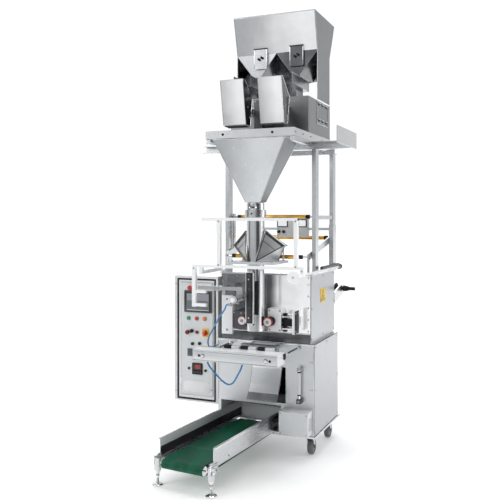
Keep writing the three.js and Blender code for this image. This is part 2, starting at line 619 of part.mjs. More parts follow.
for (const [name, button] of Object.entries(BUTTONS)) {
  add(name, pushButton(button), button.material, groupAt(button.x, DOOR_FACE, button.z));
}
for (const [name, roller] of Object.entries(ROLLERS)) {
  add(name, filmRoller(roller), gold, groupAt(0, roller.y, roller.z));
}
for (const [hand, side] of [['left', -1], ['right', 1]]) {
  add(`hopper_gate_${hand}`, hopperGate(side), polished);
  add(`weigh_bucket_${hand}`, weighBucket(side), polished);
  add(`bucket_flap_${hand}`, bucketFlap(side), darkGrey);
  add(`pull_roller_${hand}`, pullRoller(), red, groupAt(side * PULL.x, TUBE.y, PULL.z));
  for (const end of ['front', 'rear']) {
    const caster = groupAt(side * WHEEL.swivelX, WHEEL[end], 0);
    add(`caster_fork_${end}_${hand}`, casterFork(), stainless, caster);
    add(`caster_wheel_${end}_${hand}`, casterWheel(), rubber, groupAt(0, WHEEL.trail, WHEEL.radius, caster));
  }
}

const conveyor = groupAt(CONVEYOR.x, CONVEYOR.y, 0);
conveyor.rotation.z = THREE.MathUtils.degToRad(CONVEYOR.yaw);
add('conveyor_frame', conveyorFrame(), stainless, conveyor);
add('conveyor_belt', conveyorBelt(), beltGreen, conveyor);
add('belt_roller_front', beltRoller(BELT.front, 196), chrome, groupAt(0, BELT.front.y, BELT.front.z, conveyor));
add('belt_roller_rear', beltRoller(BELT.rear, 174), chrome, groupAt(0, BELT.rear.y, BELT.rear.z, conveyor));
add('conveyor_foot_left', conveyorFoot(), chrome, groupAt(-173, -24, 0, conveyor));
add('conveyor_foot_right', conveyorFoot(), chrome, groupAt(173, -24, 0, conveyor));

// The origin is the centre of the footprint, on the floor.
machine.updateMatrixWorld(true);
const extent = new THREE.Box3().setFromObject(machine, true);
const centre = extent.getCenter(new THREE.Vector3());
machine.position.set(-centre.x, -centre.y, -extent.min.z);

export default machine;
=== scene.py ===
"""A vertical form fill sealer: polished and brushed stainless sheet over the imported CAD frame, with modelled
screws, knobs, hoses, rollers and panels. Positions are in the machine's own millimetres: X = 0 is the forming
tube's plane, Y = 0 the cabinets' front face (the operator is on the -Y side) and Z = 0 the floor."""
import itertools
import math

import bmesh
import bpy
from mathutils import Matrix, Vector


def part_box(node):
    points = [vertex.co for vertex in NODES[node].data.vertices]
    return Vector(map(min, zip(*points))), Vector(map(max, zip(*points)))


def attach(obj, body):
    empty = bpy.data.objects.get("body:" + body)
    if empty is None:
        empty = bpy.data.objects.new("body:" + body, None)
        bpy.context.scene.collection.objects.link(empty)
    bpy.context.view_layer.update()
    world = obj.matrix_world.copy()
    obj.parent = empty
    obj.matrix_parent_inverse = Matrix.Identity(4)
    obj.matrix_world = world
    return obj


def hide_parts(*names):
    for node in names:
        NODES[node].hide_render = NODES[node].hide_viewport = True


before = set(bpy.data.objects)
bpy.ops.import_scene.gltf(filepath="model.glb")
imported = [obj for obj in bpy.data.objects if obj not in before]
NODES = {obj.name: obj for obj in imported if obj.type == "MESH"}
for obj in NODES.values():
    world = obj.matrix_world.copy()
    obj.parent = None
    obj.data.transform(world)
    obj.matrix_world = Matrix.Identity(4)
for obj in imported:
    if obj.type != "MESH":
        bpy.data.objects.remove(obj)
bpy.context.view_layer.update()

SCENE = bpy.context.scene

# The lower cabinet's flange reaches 332 mm to the left of the tube's plane, and 6 mm in front of the cabinet.
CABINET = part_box("lower_cabinet")
ORIGIN = Vector((CABINET[0].x + 0.332, CABINET[0].y + 0.006, 0.0))


def at(x, y, z):
    """A point of the machine's own millimetres, in the row frame's metres."""
    return ORIGIN + Vector((x, y, z)) / 1000


# ---- camera ----
camera_data = bpy.data.cameras.new("camera")
camera_data.lens = 49.68
camera_data.shift_y = -0.064
camera_data.clip_end = 200
camera = bpy.data.objects.new("camera", camera_data)
camera.location = at(1597, -4038, 1475)
camera.rotation_euler = (math.radians(90), 0, math.radians(22.8))
SCENE.collection.objects.link(camera)
SCENE.camera = camera


# ---- materials ----
def material(name, colour, rough, metal=0.0, **sockets):
    """A Principled material; returns it with its node tree and its shader."""
    made = bpy.data.materials.new(name)
    made.use_nodes = True
    shader = made.node_tree.nodes["Principled BSDF"]
    shader.inputs["Base Color"].default_value = (*colour, 1)
    shader.inputs["Roughness"].default_value = rough
    shader.inputs["Metallic"].default_value = metal
    for socket, value in sockets.items():
        shader.inputs[socket.replace("_", " ")].default_value = value
    return made, made.node_tree, shader


def added(tree, kind, inputs=None, **settings):
    """A new shader node; each of its inputs is a value, or a socket to link from."""
    node = tree.nodes.new("ShaderNode" + kind)
    for key, value in settings.items():
        setattr(node, key, value)
    for socket, source in (inputs or {}).items():
        if isinstance(source, bpy.types.NodeSocket):
            tree.links.new(source, node.inputs[socket])
        else:
            node.inputs[socket].default_value = source
    return node


def here(tree):
    """The place of a point in the row frame."""
    return added(tree, "TexCoord").outputs["Object"]


def noise(tree, scale, stretch=(1, 1, 1), detail=3.0, rough=0.55):
    """A noise value over the row frame; a small stretch draws it out along that axis."""
    mapped = added(tree, "Mapping", {"Vector": here(tree), "Scale": stretch}).outputs["Vector"]
    look = {"Vector": mapped, "Scale": scale, "Detail": detail, "Roughness": rough}
    return added(tree, "TexNoise", look).outputs["Fac"]


def spread(tree, value, low, high, start=0.3, stop=0.7):
    """A value, with start to stop spread over low to high."""
    limits = {"Value": value, "From Min": start, "From Max": stop, "To Min": low, "To Max": high}
    return added(tree, "MapRange", limits).outputs["Result"]


def reckoned(tree, operation, first, second):
    """The result of a sum, product or other operation on two values."""
    return added(tree, "Math", {0: first, 1: second}, operation=operation).outputs[0]


def tinted(tree, shader, value, dark, light, socket="Base Color"):
    """A colour between two colours, by a value."""
    mix = added(tree, "Mix", data_type="RGBA")
    mix.inputs["A"].default_value = (*dark, 1)
    mix.inputs["B"].default_value = (*light, 1)
    tree.links.new(value, mix.inputs["Factor"])
    tree.links.new(mix.outputs["Result"], shader.inputs[socket])


def bumped(tree, shader, value, strength, distance):
    """Fine relief, by a value."""
    bump = added(tree, "Bump", {"Height": value, "Strength": strength, "Distance": distance})
    tree.links.new(bump.outputs["Normal"], shader.inputs["Normal"])


def glossed(tree, shader, value, low, high):
    """Roughness from low to high, by a value."""
    tree.links.new(spread(tree, value, low, high), shader.inputs["Roughness"])


BRUSHING, PEEL = 260, 420  # how fine the brushing of sheet metal and the orange peel of paint are


def metal(name, colour, rough, grain, depth=0.06, wave=0.0):
    """Sheet metal: brushing lines from stretched noise, handling marks and uneven gloss."""
    made, tree, shader = material(name, colour, rough, 1.0)
    lines = noise(tree, BRUSHING, grain, detail=4)
    marks = noise(tree, 7, detail=5, rough=0.65)
    gloss = spread(tree, lines, rough * 0.85, rough * 1.15)
    smears = spread(tree, marks, -0.015, 0.03)
    tree.links.new(reckoned(tree, "ADD", gloss, smears), shader.inputs["Roughness"])
    shade = tuple(c * (1 - depth) for c in colour)
    tinted(tree, shader, spread(tree, marks, 0.0, 1.0, 0.35, 0.65), shade, colour)
    if wave:
        bumped(tree, shader, noise(tree, 2.6, detail=1), wave, 0.02)
    else:
        bumped(tree, shader, lines, 0.05, 0.0006)
    return made


def softbox_painted(name, rough, dark, light, x0, x1, metallic, lift):
    """Upright brushed sheet with a painted softbox reflection, dark at x0 and light at x1 (machine millimetres),
    and a painted glow that rises to lift on its light side.
    """
    made, tree, shader = material(name, light, rough, metallic, Emission_Color=(1, 1, 1, 1))
    lines = noise(tree, BRUSHING, UPRIGHT, detail=4)
    cloud = noise(tree, 3.5, detail=3, rough=0.6)
    split = added(tree, "SeparateXYZ", {"Vector": here(tree)})
    # painted softbox reflection: dark towards x0, light towards x1, broken up by a cloud of noise
    across = spread(tree, split.outputs["X"], 0.0, 1.0, ORIGIN.x + x0 / 1000, ORIGIN.x + x1 / 1000)
    uneven = reckoned(tree, "ADD", across, spread(tree, cloud, -0.18, 0.18))
    soft = spread(tree, uneven, 0.0, 1.0, 0.0, 1.0)
    tinted(tree, shader, soft, dark, light)
    # painted glow: the light side of the sheet glows, up to lift
    tree.links.new(spread(tree, soft, 0.0, lift, 0.25, 1.0), shader.inputs["Emission Strength"])
    glossed(tree, shader, lines, rough * 0.85, rough * 1.15)
    bumped(tree, shader, lines, 0.04, 0.0005)
    return made


def painted(name, colour, rough, coat=0.0, speckle=0.05, depth=0.06, **sockets):
    """Paint or moulded plastic: fine orange peel, faint dirt and uneven gloss."""
    made, tree, shader = material(name, colour, rough, Coat_Weight=coat, Coat_Roughness=0.15, **sockets)
    dirt = noise(tree, 9, detail=6, rough=0.7)
    glossed(tree, shader, dirt, rough * 0.85, min(1.0, rough * 1.25))
    tinted(tree, shader, spread(tree, dirt, 0.0, 1.0), tuple(c * (1 - depth) for c in colour), colour)
    bumped(tree, shader, noise(tree, PEEL, detail=2), speckle, 0.0004)
    return made


SIDEWAYS = (0.05, 0.05, 1.0)  # brushing lines that run level
UPRIGHT = (1.0, 1.0, 0.05)  # and lines that run up and down
steel = metal("brushed_stainless", (0.66, 0.67, 0.68), 0.26, SIDEWAYS)
steel_up = metal("upright_stainless", (0.62, 0.63, 0.645), 0.24, UPRIGHT)
mirror = metal("polished_stainless", (0.78, 0.79, 0.80), 0.085, SIDEWAYS, 0.05, 0.22)
bright = metal("bright_stainless", (0.72, 0.73, 0.74), 0.15, UPRIGHT, 0.06, 0.12)
shadowed = metal("shadowed_stainless", (0.2, 0.205, 0.215), 0.16, UPRIGHT, 0.3, 0.4)
shaded = metal("shaded_stainless", (0.4, 0.405, 0.415), 0.24, UPRIGHT, 0.1, 0.15)
# darker, rougher stainless: a duller finish, and painted shade on the chute's fold and in the motor cover's
# louvres
dull_shaded = metal("dull_stainless", (0.42, 0.43, 0.44), 0.36, SIDEWAYS, 0.2)
chrome = metal("chrome_plate", (0.86, 0.86, 0.87), 0.06, UPRIGHT, 0.04)
satin = metal("satin_stainless", (0.69, 0.705, 0.72), 0.42, SIDEWAYS, 0.06)
# darker stainless for side panels and for faces to the left and rear: painted shade
side_shade = metal("side_shade", (0.43, 0.442, 0.455), 0.3, UPRIGHT, 0.08, 0.05)
# darker stainless for the funnel's right side: painted shade
funnel_side = metal("funnel_side_sheet", (0.25, 0.26, 0.27), 0.3, UPRIGHT, 0.12)
collar_sheet = metal("collar_sheet", (0.74, 0.75, 0.76), 0.4, SIDEWAYS, 0.1)
# darker stainless for the drive box's front and right face and the hopper's right side: painted shade
box_shade = metal("drive_box_sheet", (0.3, 0.305, 0.31), 0.34, UPRIGHT, 0.12)
# darkest brushed stainless, for the recessed band under the upper cabinet: painted shade
recess_shade = metal("darkened_stainless", (0.17, 0.172, 0.178), 0.3, SIDEWAYS, 0.45)
# the dark and light ends of the painted softbox reflection on the hopper and buckets; the front plate shares the
# light end
SHEEN_DARK, SHEEN_LIGHT = (0.62, 0.635, 0.65), (0.97, 0.97, 0.975)
HANDS = ((-1, "left"), (1, "right"))
BUCKET = 122  # from the tube's plane to the middle of each weigh bucket
# painted light: softbox reflections and glow painted on the fronts of the hopper, the buckets, the front plate
# and the funnel
hopper_painted_sheen = softbox_painted("hopper_sheet_painted_sheen", 0.2, SHEEN_DARK, SHEEN_LIGHT, -260, 190, 0.4, 0.26)
bucket_painted_sheens = {
    hand: softbox_painted(f"bucket_sheet_painted_sheen_{hand}", 0.18, SHEEN_DARK, SHEEN_LIGHT, side * BUCKET - 130, side * BUCKET + 40, 0.4, 0.24)
    for side, hand in HANDS}
plate_painted_sheen = softbox_painted("front_plate_sheet_painted_sheen", 0.14, (0.24, 0.25, 0.26), SHEEN_LIGHT, 15, 120, 0.7, 0.3)
funnel_painted_sheen = softbox_painted("funnel_sheet_painted_sheen", 0.24, (0.56, 0.575, 0.59), (0.9, 0.92, 0.94), -190, 60, 0.55, 0.05)
machined = metal("machined_steel", (0.5, 0.51, 0.52), 0.3, (1, 1, 1), 0.15)
gold = metal("gold_anodised", (0.86, 0.47, 0.09), 0.24, (1.0, 0.05, 0.05), 0.25)
white = painted("white_enamel", (0.83, 0.84, 0.84), 0.38, 0.15)
# white gloss enamel with a painted glow, so that it stays bright white
white_gloss_glow = painted("white_gloss_enamel", (0.93, 0.94, 0.945), 0.3, 0.2,
                      Emission_Color=(1, 1, 1, 1), Emission_Strength=0.1)
door_grey = painted("door_enamel", (0.74, 0.76, 0.77), 0.42, 0.1)
black = painted("black_moulding", (0.012, 0.012, 0.014), 0.55, 0.0, 0.2, Specular_IOR_Level=0.3)
gloss_black = painted("gloss_black", (0.01, 0.01, 0.012), 0.16, 0.3)
dark = painted("dark_grey", (0.09, 0.092, 0.1), 0.45, 0.05, 0.15)
red = painted("red_moulding", (0.62, 0.02, 0.025), 0.26, 0.35)
red_tread = painted("red_polyurethane", (0.42, 0.012, 0.012), 0.5, 0.0, 0.4)
green = painted("green_moulding", (0.0, 0.3, 0.14), 0.3, 0.3)
yellow = painted("yellow_plate", (0.85, 0.55, 0.02), 0.45, 0.1)
rubber = painted("grey_rubber", (0.16, 0.163, 0.17), 0.72, 0.0, 0.5, 0.15)
hub = painted("hub_moulding", (0.3, 0.31, 0.32), 0.45, 0.05, 0.2)
pale_plate = painted("pale_plate", (0.6, 0.61, 0.62), 0.5, 0.0, 0.1)
screen_grey = painted("screen_surround", (0.045, 0.047, 0.052), 0.35, 0.2)
orange = painted("orange_lens", (0.8, 0.2, 0.02), 0.25, 0.35)
plate_blue = painted("blue_grey_plate", (0.09, 0.15, 0.22), 0.4, 0.1)


def belting():
    """Green PVC belting with a fine cloth pattern under a satin face, and worn paler streaks along it."""
    made, tree, shader = material("belt_pvc", (0.003, 0.12, 0.06), 0.42, Specular_IOR_Level=0.22)
    streaks = noise(tree, 16, (1.0, 0.16, 1.0), detail=5, rough=0.7)
    wear = spread(tree, streaks, 0.0, 1.0, 0.4, 0.75)
    tinted(tree, shader, wear, (0.001, 0.07, 0.034), (0.006, 0.15, 0.078))
    glossed(tree, shader, streaks, 0.36, 0.55)
    weave = added(tree, "TexWave", {"Vector": here(tree), "Scale": 260, "Distortion": 1.5})
    bumped(tree, shader, weave.outputs["Fac"], 0.25, 0.0004)
    return made


def hose_plastic():
    """Translucent blue hose, faintly cloudy."""
    made, tree, shader = material(
        "blue_polyurethane", (0.03, 0.33, 0.75), 0.22, Coat_Weight=0.4, Coat_Roughness=0.08,
        Transmission_Weight=0.12, IOR=1.5)
    cloud = noise(tree, 30, detail=3)
    tinted(tree, shader, spread(tree, cloud, 0.0, 1.0), (0.008, 0.16, 0.42), (0.03, 0.3, 0.66))
    glossed(tree, shader, cloud, 0.18, 0.3)
    bumped(tree, shader, noise(tree, 300), 0.05, 0.0003)
    return made


def glowing(name, colour, strength, glass):
    """A display lit from behind glass, with faint unevenness in the backlight: a real lit display for the red
    digits, and painted light for the operator screen and the film panel's windows.
    """
    made, tree, shader = material(
        name, glass, 0.12, Emission_Strength=strength, Coat_Weight=0.5, Coat_Roughness=0.04)
    haze = noise(tree, 40, detail=2)
    tinted(tree, shader, spread(tree, haze, 0.0, 1.0), [c * 0.8 for c in colour], colour, "Emission Color")
    glossed(tree, shader, haze, 0.1, 0.16)
    return made


belt_green = belting()
hose_blue = hose_plastic()
# painted light: the screen, which is off, glows, and its lower half is darker as a painted reflection
screen_painted_glow = glowing("screen_painted_glow", (0.42, 0.46, 0.5), 0.3, (0.16, 0.17, 0.19))
screen_painted_dark = glowing("screen_painted_dark", (0.3, 0.33, 0.37), 0.2, (0.09, 0.1, 0.11))
# painted light: the film panel's windows glow
window_painted_glow = glowing("window_painted_glow", (0.9, 0.93, 0.95), 0.6, (0.6, 0.62, 0.64))
digits_red = glowing("digits_red", (0.75, 0.03, 0.02), 1.0, (0.2, 0.02, 0.02))


# ---- building ----
AXES = {"x": Vector((1, 0, 0)), "y": Vector((0, 1, 0)), "z": Vector((0, 0, 1))}
FRONT, BACK, RIGHT, UP, DOWN = (0, -1, 0), (0, 1, 0), (1, 0, 0), (0, 0, 1), (0, 0, -1)


class Piece:
    """One visible piece, built up from shapes in the machine's own millimetres, each in its own material."""

    def __init__(self, move=Matrix()):
        self.bm = bmesh.new()
        self.materials = []
        self.index = 0
        self.move = move  # an extra placement, for shapes drawn round their own zero

    def use(self, chosen):
        """Takes the material of the shapes that follow."""
        if chosen not in self.materials:
            self.materials.append(chosen)
        self.index = self.materials.index(chosen)
        return self

    def mark(self, faces):
        """Gives faces the current material."""
        for face in faces:
            face.material_index = self.index
            face.smooth = True

    def block(self, x0, x1, y0, y1, z0, z1, edge=1.0, turn=None):
        """A box with rounded edges; turn is (angle in degrees, axis) about its own centre."""
        centre = Vector(((x0 + x1) / 2, (y0 + y1) / 2, (z0 + z1) / 2))
        place = Matrix.Translation(centre)
        if turn:
            place = place @ Matrix.Rotation(math.radians(turn[0]), 4, turn[1].upper())
        size = Matrix.Diagonal((x1 - x0, y1 - y0, z1 - z0, 1))
        made = bmesh.ops.create_cube(self.bm, size=1, matrix=size)["verts"]
        faces = {f for v in made for f in v.link_faces}
        edge = min(edge, 0.45 * min(x1 - x0, y1 - y0, z1 - z0))
        if edge > 0.05:
            edges = list({e for v in made for e in v.link_edges})
            grown = bmesh.ops.bevel(self.bm, geom=edges, offset=edge, segments=2, affect="EDGES", profile=0.5)
            near = {f for v in grown["verts"] for f in v.link_faces}
            faces = near | {f for f in faces if f.is_valid}
        verts = {v for f in faces for v in f.verts}
        bmesh.ops.transform(self.bm, matrix=place, verts=list(verts))
        self.mark(faces)
        return self

    def ring(self, points):
        """New corners at the points."""
        return [self.bm.verts.new(point) for point in points]

    def skin(self, rings, again=False):
        """Faces between neighbouring rings of corners, where a ring of one corner is a tip; again also joins the
        last ring to the first."""
        faces = []
        for lower, upper in zip(rings, rings[1:] + rings[:again]):
            count = max(len(lower), len(upper))
            for i in range(count):
                j = (i + 1) % count
                below = (lower[i % len(lower)], lower[j % len(lower)])
                above = (upper[j % len(upper)], upper[i % len(upper)])
                corners = list(dict.fromkeys(below + above))
                if len(corners) > 2:
                    faces.append(self.bm.faces.new(corners))
        self.mark(faces)
        return faces

    def solid(self, rings):
        """Skin between the rings, and a face over each end."""
        caps = [self.bm.faces.new(rings[0][::-1]), self.bm.faces.new(rings[-1])]
        self.mark(caps)
        return caps + self.skin(rings)

    def lathe(self, centre, axis, profile, sides=32):
        """A turned shape: (radius, height along the axis) points from one end to the other."""
        direction = AXES[axis] if isinstance(axis, str) else Vector(axis).normalized()
        turn = Vector((0, 0, 1)).rotation_difference(direction).to_matrix().to_4x4()
        place = Matrix.Translation(Vector(centre)) @ turn
        angles = [2 * math.pi * i / sides for i in range(sides)]
        self.skin([
            self.ring([place @ Vector((radius * math.cos(a), radius * math.sin(a), height))
                       for a in (angles if radius > 1e-6 else [0])])
            for radius, height in profile])
        return self

    def rod(self, centre, axis, radius, low, high, edge=0.8, sides=24):
        """A round bar with eased ends."""
        edge = min(edge, radius * 0.5, (high - low) * 0.4)
        return self.lathe(centre, axis, [
            (0, low), (radius - edge, low), (radius, low + edge), (radius, high - edge),
            (radius - edge, high), (0, high)], sides)

    def screw(self, centre, axis, radius=5.0, tall=3.5):
        """A socket head screw on a washer, pointing along the axis."""
        head, socket = radius, radius * 0.5
        return self.lathe(centre, axis, [
            (0, 0), (head * 1.45, 0), (head * 1.45, 0.8), (head, 0.9), (head, 0.9 + tall * 0.7),
            (head * 0.88, 0.9 + tall), (socket, 0.9 + tall), (socket * 0.9, tall * 0.4), (0, tall * 0.4)], 16)

    def screws(self, xs, ys, zs, axis, radius, tall):
        """Screws at every crossing of the x, y and z values."""
        values = [v if isinstance(v, tuple) else (v,) for v in (xs, ys, zs)]
        for place in itertools.product(*values):
            self.screw(place, axis, radius, tall)
        return self

    def sweep(self, points, radius, sides=12):
        """A round tube along a line of points, closed at its ends."""
        points = [Vector(p) for p in points]
        angles = [2 * math.pi * k / sides for k in range(sides)]
        rings = []
        side = None
        for i, point in enumerate(points):
            ahead = (points[min(i + 1, len(points) - 1)] - points[max(i - 1, 0)]).normalized()
            if side is None:
                side = ahead.orthogonal().normalized()
            side = (side - ahead * side.dot(ahead)).normalized()
            up = ahead.cross(side)
            rings.append(self.ring([
                point + radius * (side * math.cos(a) + up * math.sin(a)) for a in angles]))
        self.solid(rings)
        return self

    def beads(self, points, radius, sides=8):
        """Straight weld beads or rods from each point to the next."""
        for a, b in zip(points, points[1:]):
            self.sweep([a, b], radius, sides)
        return self

    def prism(self, outline, axis, low, high, edge=0.0):
        """A closed outline of two-axis points, thickened along the third axis."""
        order = {"x": (2, 0, 1), "y": (0, 2, 1), "z": (0, 1, 2)}[axis]
        faces = self.solid([self.ring([[(*point, level)[k] for k in order] for point in outline])
                            for level in (low, high)])
        if edge:
            edges = list({e for f in faces for e in f.edges})
            grown = bmesh.ops.bevel(self.bm, geom=edges, offset=edge, segments=2, affect="EDGES", profile=0.5)
            self.mark(grown["faces"])
        return self

    def band(self, a, b, c, start, stop, lift):
        """A strip on the triangle abc, parallel to ab, from start to stop millimetres towards c."""
        along = (b - a).normalized()
        height = (c - a) - along * (c - a).dot(along)
        up = along.cross(height).normalized()
        up *= -math.copysign(1, up.y)
        low, high = start / height.length, stop / height.length
        corners = [a.lerp(c, low), b.lerp(c, low), b.lerp(c, high), a.lerp(c, high)]
        self.solid([self.ring([corner + up * level for corner in corners]) for level in (lift, lift + 0.6)])
        return self

    def done(self, name, body="machine", slot="stainless"):
        """Makes the object, in the row frame's metres, riding on its body."""
        bmesh.ops.recalc_face_normals(self.bm, faces=self.bm.faces[:])
        self.bm.transform(Matrix.Translation(ORIGIN) @ Matrix.Scale(0.001, 4) @ self.move)
        mesh = bpy.data.meshes.new(name)
        self.bm.to_mesh(mesh)
        self.bm.free()
        for one in self.materials:
            mesh.materials.append(one)
        mesh.set_sharp_from_angle(angle=math.radians(35))
        made = bpy.data.objects.new(name, mesh)
        SCENE.collection.objects.link(made)
        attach(made, body)
        return made


def dress(names, chosen, edge=0.8, sharp=30, parts=()):
    """Gives CAD nodes their finish and softened edges. parts are (material, test) pairs: a face takes the
    material of the last test that its centre, in the machine's own millimetres, and its normal pass."""
    for name in names.split():
        node = NODES[name]
        mesh = node.data
        mesh.materials.clear()
        mesh.materials.append(chosen)
        for other, _ in parts:
            mesh.materials.append(other)
        for face in mesh.polygons:
            face.material_index = 0
            face.use_smooth = True
            centre = (face.center - ORIGIN) * 1000
            for number, (_, test) in enumerate(parts, 1):
                if test(centre, face.normal):
                    face.material_index = number
        if "custom_normal" in mesh.attributes:
            mesh.attributes.remove(mesh.attributes["custom_normal"])
        mesh.set_sharp_from_angle(angle=math.radians(sharp))
        if edge:
            bevel = node.modifiers.new("edges", "BEVEL")
            bevel.width = edge / 1000
            bevel.segments = 2
            bevel.limit_method = "ANGLE"
            bevel.angle_limit = math.radians(40)
            bevel.harden_normals = True


# ---- hoses: each lies on the smooth curve that its CAD tube follows ----
HOSE_RADIUS = 5
UPPER_HOSE = [
    (-104.8, -322, 962), (-112, -322, 961.5), (-124, -316, 951), (-136, -304, 931), (-165, -284, 902),
    (-193, -262, 872), (-228, -232, 833), (-258, -205, 794), (-285, -185, 765), (-306, -168, 738),
    (-320, -156, 712), (-329, -138, 682), (-334, -110, 662), (-334, -70, 652), (-334, -22.4, 650)]
LOWER_HOSE = [
    (-215, -375, 639.3), (-215, -375, 628), (-210, -375, 610), (-195, -375, 590), (-160, -375, 556),
    (-118, -375, 520), (-78, -375, 503), (-48, -375, 518), (-24, -375, 556), (-4, -375, 592), (5, -375, 614),
    (9, -375, 628), (9, -375, 639.3)]


def line_length(points, steps=24):
    """The length of the smooth line through the points, and a dense list of points on it."""
    points = [Vector(p) for p in points]
    padded = [2 * points[0] - points[1], *points, 2 * points[-1] - points[-2]]
    dense = []
    for a, b, c, d in zip(padded, padded[1:], padded[2:], padded[3:]):
        for i in range(steps):
            t = i / steps
            dense.append(0.5 * (2 * b + (c - a) * t + (2 * a - 5 * b + 4 * c - d) * t * t
                                + (3 * b - a - 3 * c + d) * t ** 3))
    dense.append(points[-1])
    return sum((q - p).length for p, q in zip(dense, dense[1:])), dense


def hose(name, node, points, body):
    """A hose along the smooth line, in place of its CAD node."""
    length, dense = line_length(points)
    curve = bpy.data.curves.new(name, "CURVE")
    curve.dimensions = "3D"
    curve.bevel_depth = HOSE_RADIUS / 1000
    curve.bevel_resolution = 6
    curve.use_fill_caps = True
    picked = dense[::6] if dense[::6][-1] == dense[-1] else dense[::6] + [dense[-1]]
    spline = curve.splines.new("POLY")
    spline.points.add(len(picked) - 1)
    for point, place in zip(spline.points, picked):
        point.co = (*at(*place), 1)
    curve.materials.append(hose_blue)
    made = bpy.data.objects.new(name, curve)
    SCENE.collection.objects.link(made)
    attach(made, body)
    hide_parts(node)


hose("air_hose_upper", "hose_upper", UPPER_HOSE, "machine")
hose("air_hose_lower", "hose_lower", LOWER_HOSE, "jaw_crosshead")


# ---- finishes on the CAD nodes ----
DOOR = -3  # the control door's outer face
TUBE_Y = -150  # the middle of the forming tube, the funnel and the pull wheels
THROATS = 2560  # the height at which the hopper's sloping walls meet its throats
PULL_X, PULL_Z = 84, 847  # the middle of each pull wheel, to either side and up


def on_door(test):
    """A test for faces of what stands on the control door, by their centre."""
    return lambda c, n: c.y < DOOR - 0.5 and test(c)


def away(_, normal):
    """Whether a face looks to the left or to the rear, where the light falls full on it. Such faces take the
    darker
    side sheet: painted shade that tones that light down.
    """
    return normal.x < -0.7 or normal.y > 0.7


dress("lower_cabinet", steel, 1.0, parts=[
    # painted light: the tunnel's inner faces take white enamel, so that the enclosed tunnel stays bright
    (white, lambda c, n: 2 < c.y < 249.5 and -309 < c.x < 115 and 137 < c.z < 313.5),
    # faces to the left and rear take the darker side sheet: painted shade
    (satin, lambda c, n: c.y < 1 and n.y < -0.5), (side_shade, away)])
# the side panels take the darker side sheet: painted shade
dress("lower_side_panel upper_side_panel", side_shade, 1.2)
dress("upper_cabinet reel_stand", steel, 1.0, parts=[
    # painted shade: the recessed band under the hem in the darkest stainless, left and rear faces in the side
    # sheet
    (recess_shade, lambda c, n: c.y < 10 and c.z < 766 and n.y < -0.5), (side_shade, away)])
# a painted softbox reflection and a painted glow on the front plate
dress("front_plate", plate_painted_sheen, 0.8)
# painted highlight: the cover's top faces take white enamel
dress("motor_cover_box", satin, 1.0, parts=[(white, lambda c, n: n.z > 0.7)])
dress("discharge_chute", satin, 0.5, parts=[(shaded, lambda c, n: c.y < -46 and c.z < 392)])
dress("drive_motor", dark, 1.5)
dress("post_frame_left post_frame_right", steel_up, 1.2)
dress("platform_frame", steel, 0.8)
dress("weigher_tray", bright, 1.0)
# painted shade: the darker drive box sheet on the right face and upper front, the side sheet to the left and
# rear
dress("weigher_drive_box", bright, 1.0, parts=[
    (box_shade, lambda c, n: (n.x > 0.7 and c.x > 260) or (n.y < -0.7 and c.z > 2003)),
    (side_shade, away)])
# painted light: a softbox reflection on the front, painted shade on the right throat, in the throats and on the
# right side
dress("hopper", mirror, 0.8, parts=[
    (hopper_painted_sheen, lambda c, n: n.y < -0.7 and (c.z > THROATS + 2 or c.x < 0)),
    (shadowed, lambda c, n: n.y < -0.7 and c.z < THROATS + 2 and c.x > 0),
    (box_shade, lambda c, n: n.x > 0.7 and c.x > 270),
    # painted shade: the darker side sheet on the left and rear faces
    (side_shade, lambda c, n: n.x < -0.7 or c.y > 485),
    (shadowed, lambda c, n: c.z < THROATS + 2 and abs(n.x) > 0.3 and abs(abs(c.x) - 279) > 3),
    (shadowed, lambda c, n: c.z < THROATS + 2 and abs(c.x) < 277.5 and c.y > 480)])
# a painted softbox reflection on each bucket's front, and painted shade on its right side
for hand, sheet in bucket_painted_sheens.items():
    dress(f"weigh_bucket_{hand}", mirror, 0.8, parts=[
        (sheet, lambda c, n: n.y < -0.5), (shadowed, lambda c, n: n.x > 0.5)])
# lit and shaded copies: the left gate bright, the right gate shadowed as painted shade
for hand, sheet in (("left", bright), ("right", shadowed)):
    dress(f"hopper_gate_{hand}", sheet, 0.6, parts=[(black, lambda c, n: c.y < 196 or c.z > 2590.5)])
dress("feeder_pans", shadowed, 0.8, parts=[(shaded, lambda c, n: n.x > 0.7 and c.z > 2303)])
# painted shade on the funnel's right side, and a painted softbox reflection with a faint painted glow on its
# front
dress("product_funnel", bright, 0.8, parts=[
    (funnel_side, lambda c, n: n.x > 0.6), (funnel_painted_sheen, lambda c, n: n.y < -0.5 and c.z > 1600)])
dress("forming_collar", collar_sheet, 0.6, parts=[(shadowed, lambda c, n: c.y > -70 and c.z > 1230)])
dress("film_frame", steel, 0.6, parts=[
    (white, lambda c, n: -106 < c.x < 131 and 499 < c.y < 508 and 1341 < c.z < 1471)])
# the white guard frame in the white enamel with a painted glow
dress("guard_frame", white_gloss_glow, 1.2, parts=[
    (steel, lambda c, n: c.x > 317 and c.y > -222 and c.z < 1152),
    (dark, lambda c, n: c.x > 317 and c.y > 149 and c.z > 1151)])
dress("pull_unit_left", bright, 1.0, parts=[
    (dark, lambda c, n: -177 < c.x < -61 and c.y > -101 and c.z < 894),
    # the left unit's outer cover in the white enamel with a painted glow
    (white_gloss_glow, lambda c, n: c.x < -173 and c.z < 992),
    (chrome, lambda c, n: c.y < -329 and c.z < 1020),
    (machined, lambda c, n: -105 < c.x < -49 and c.y < -199 and c.z < 1035)])
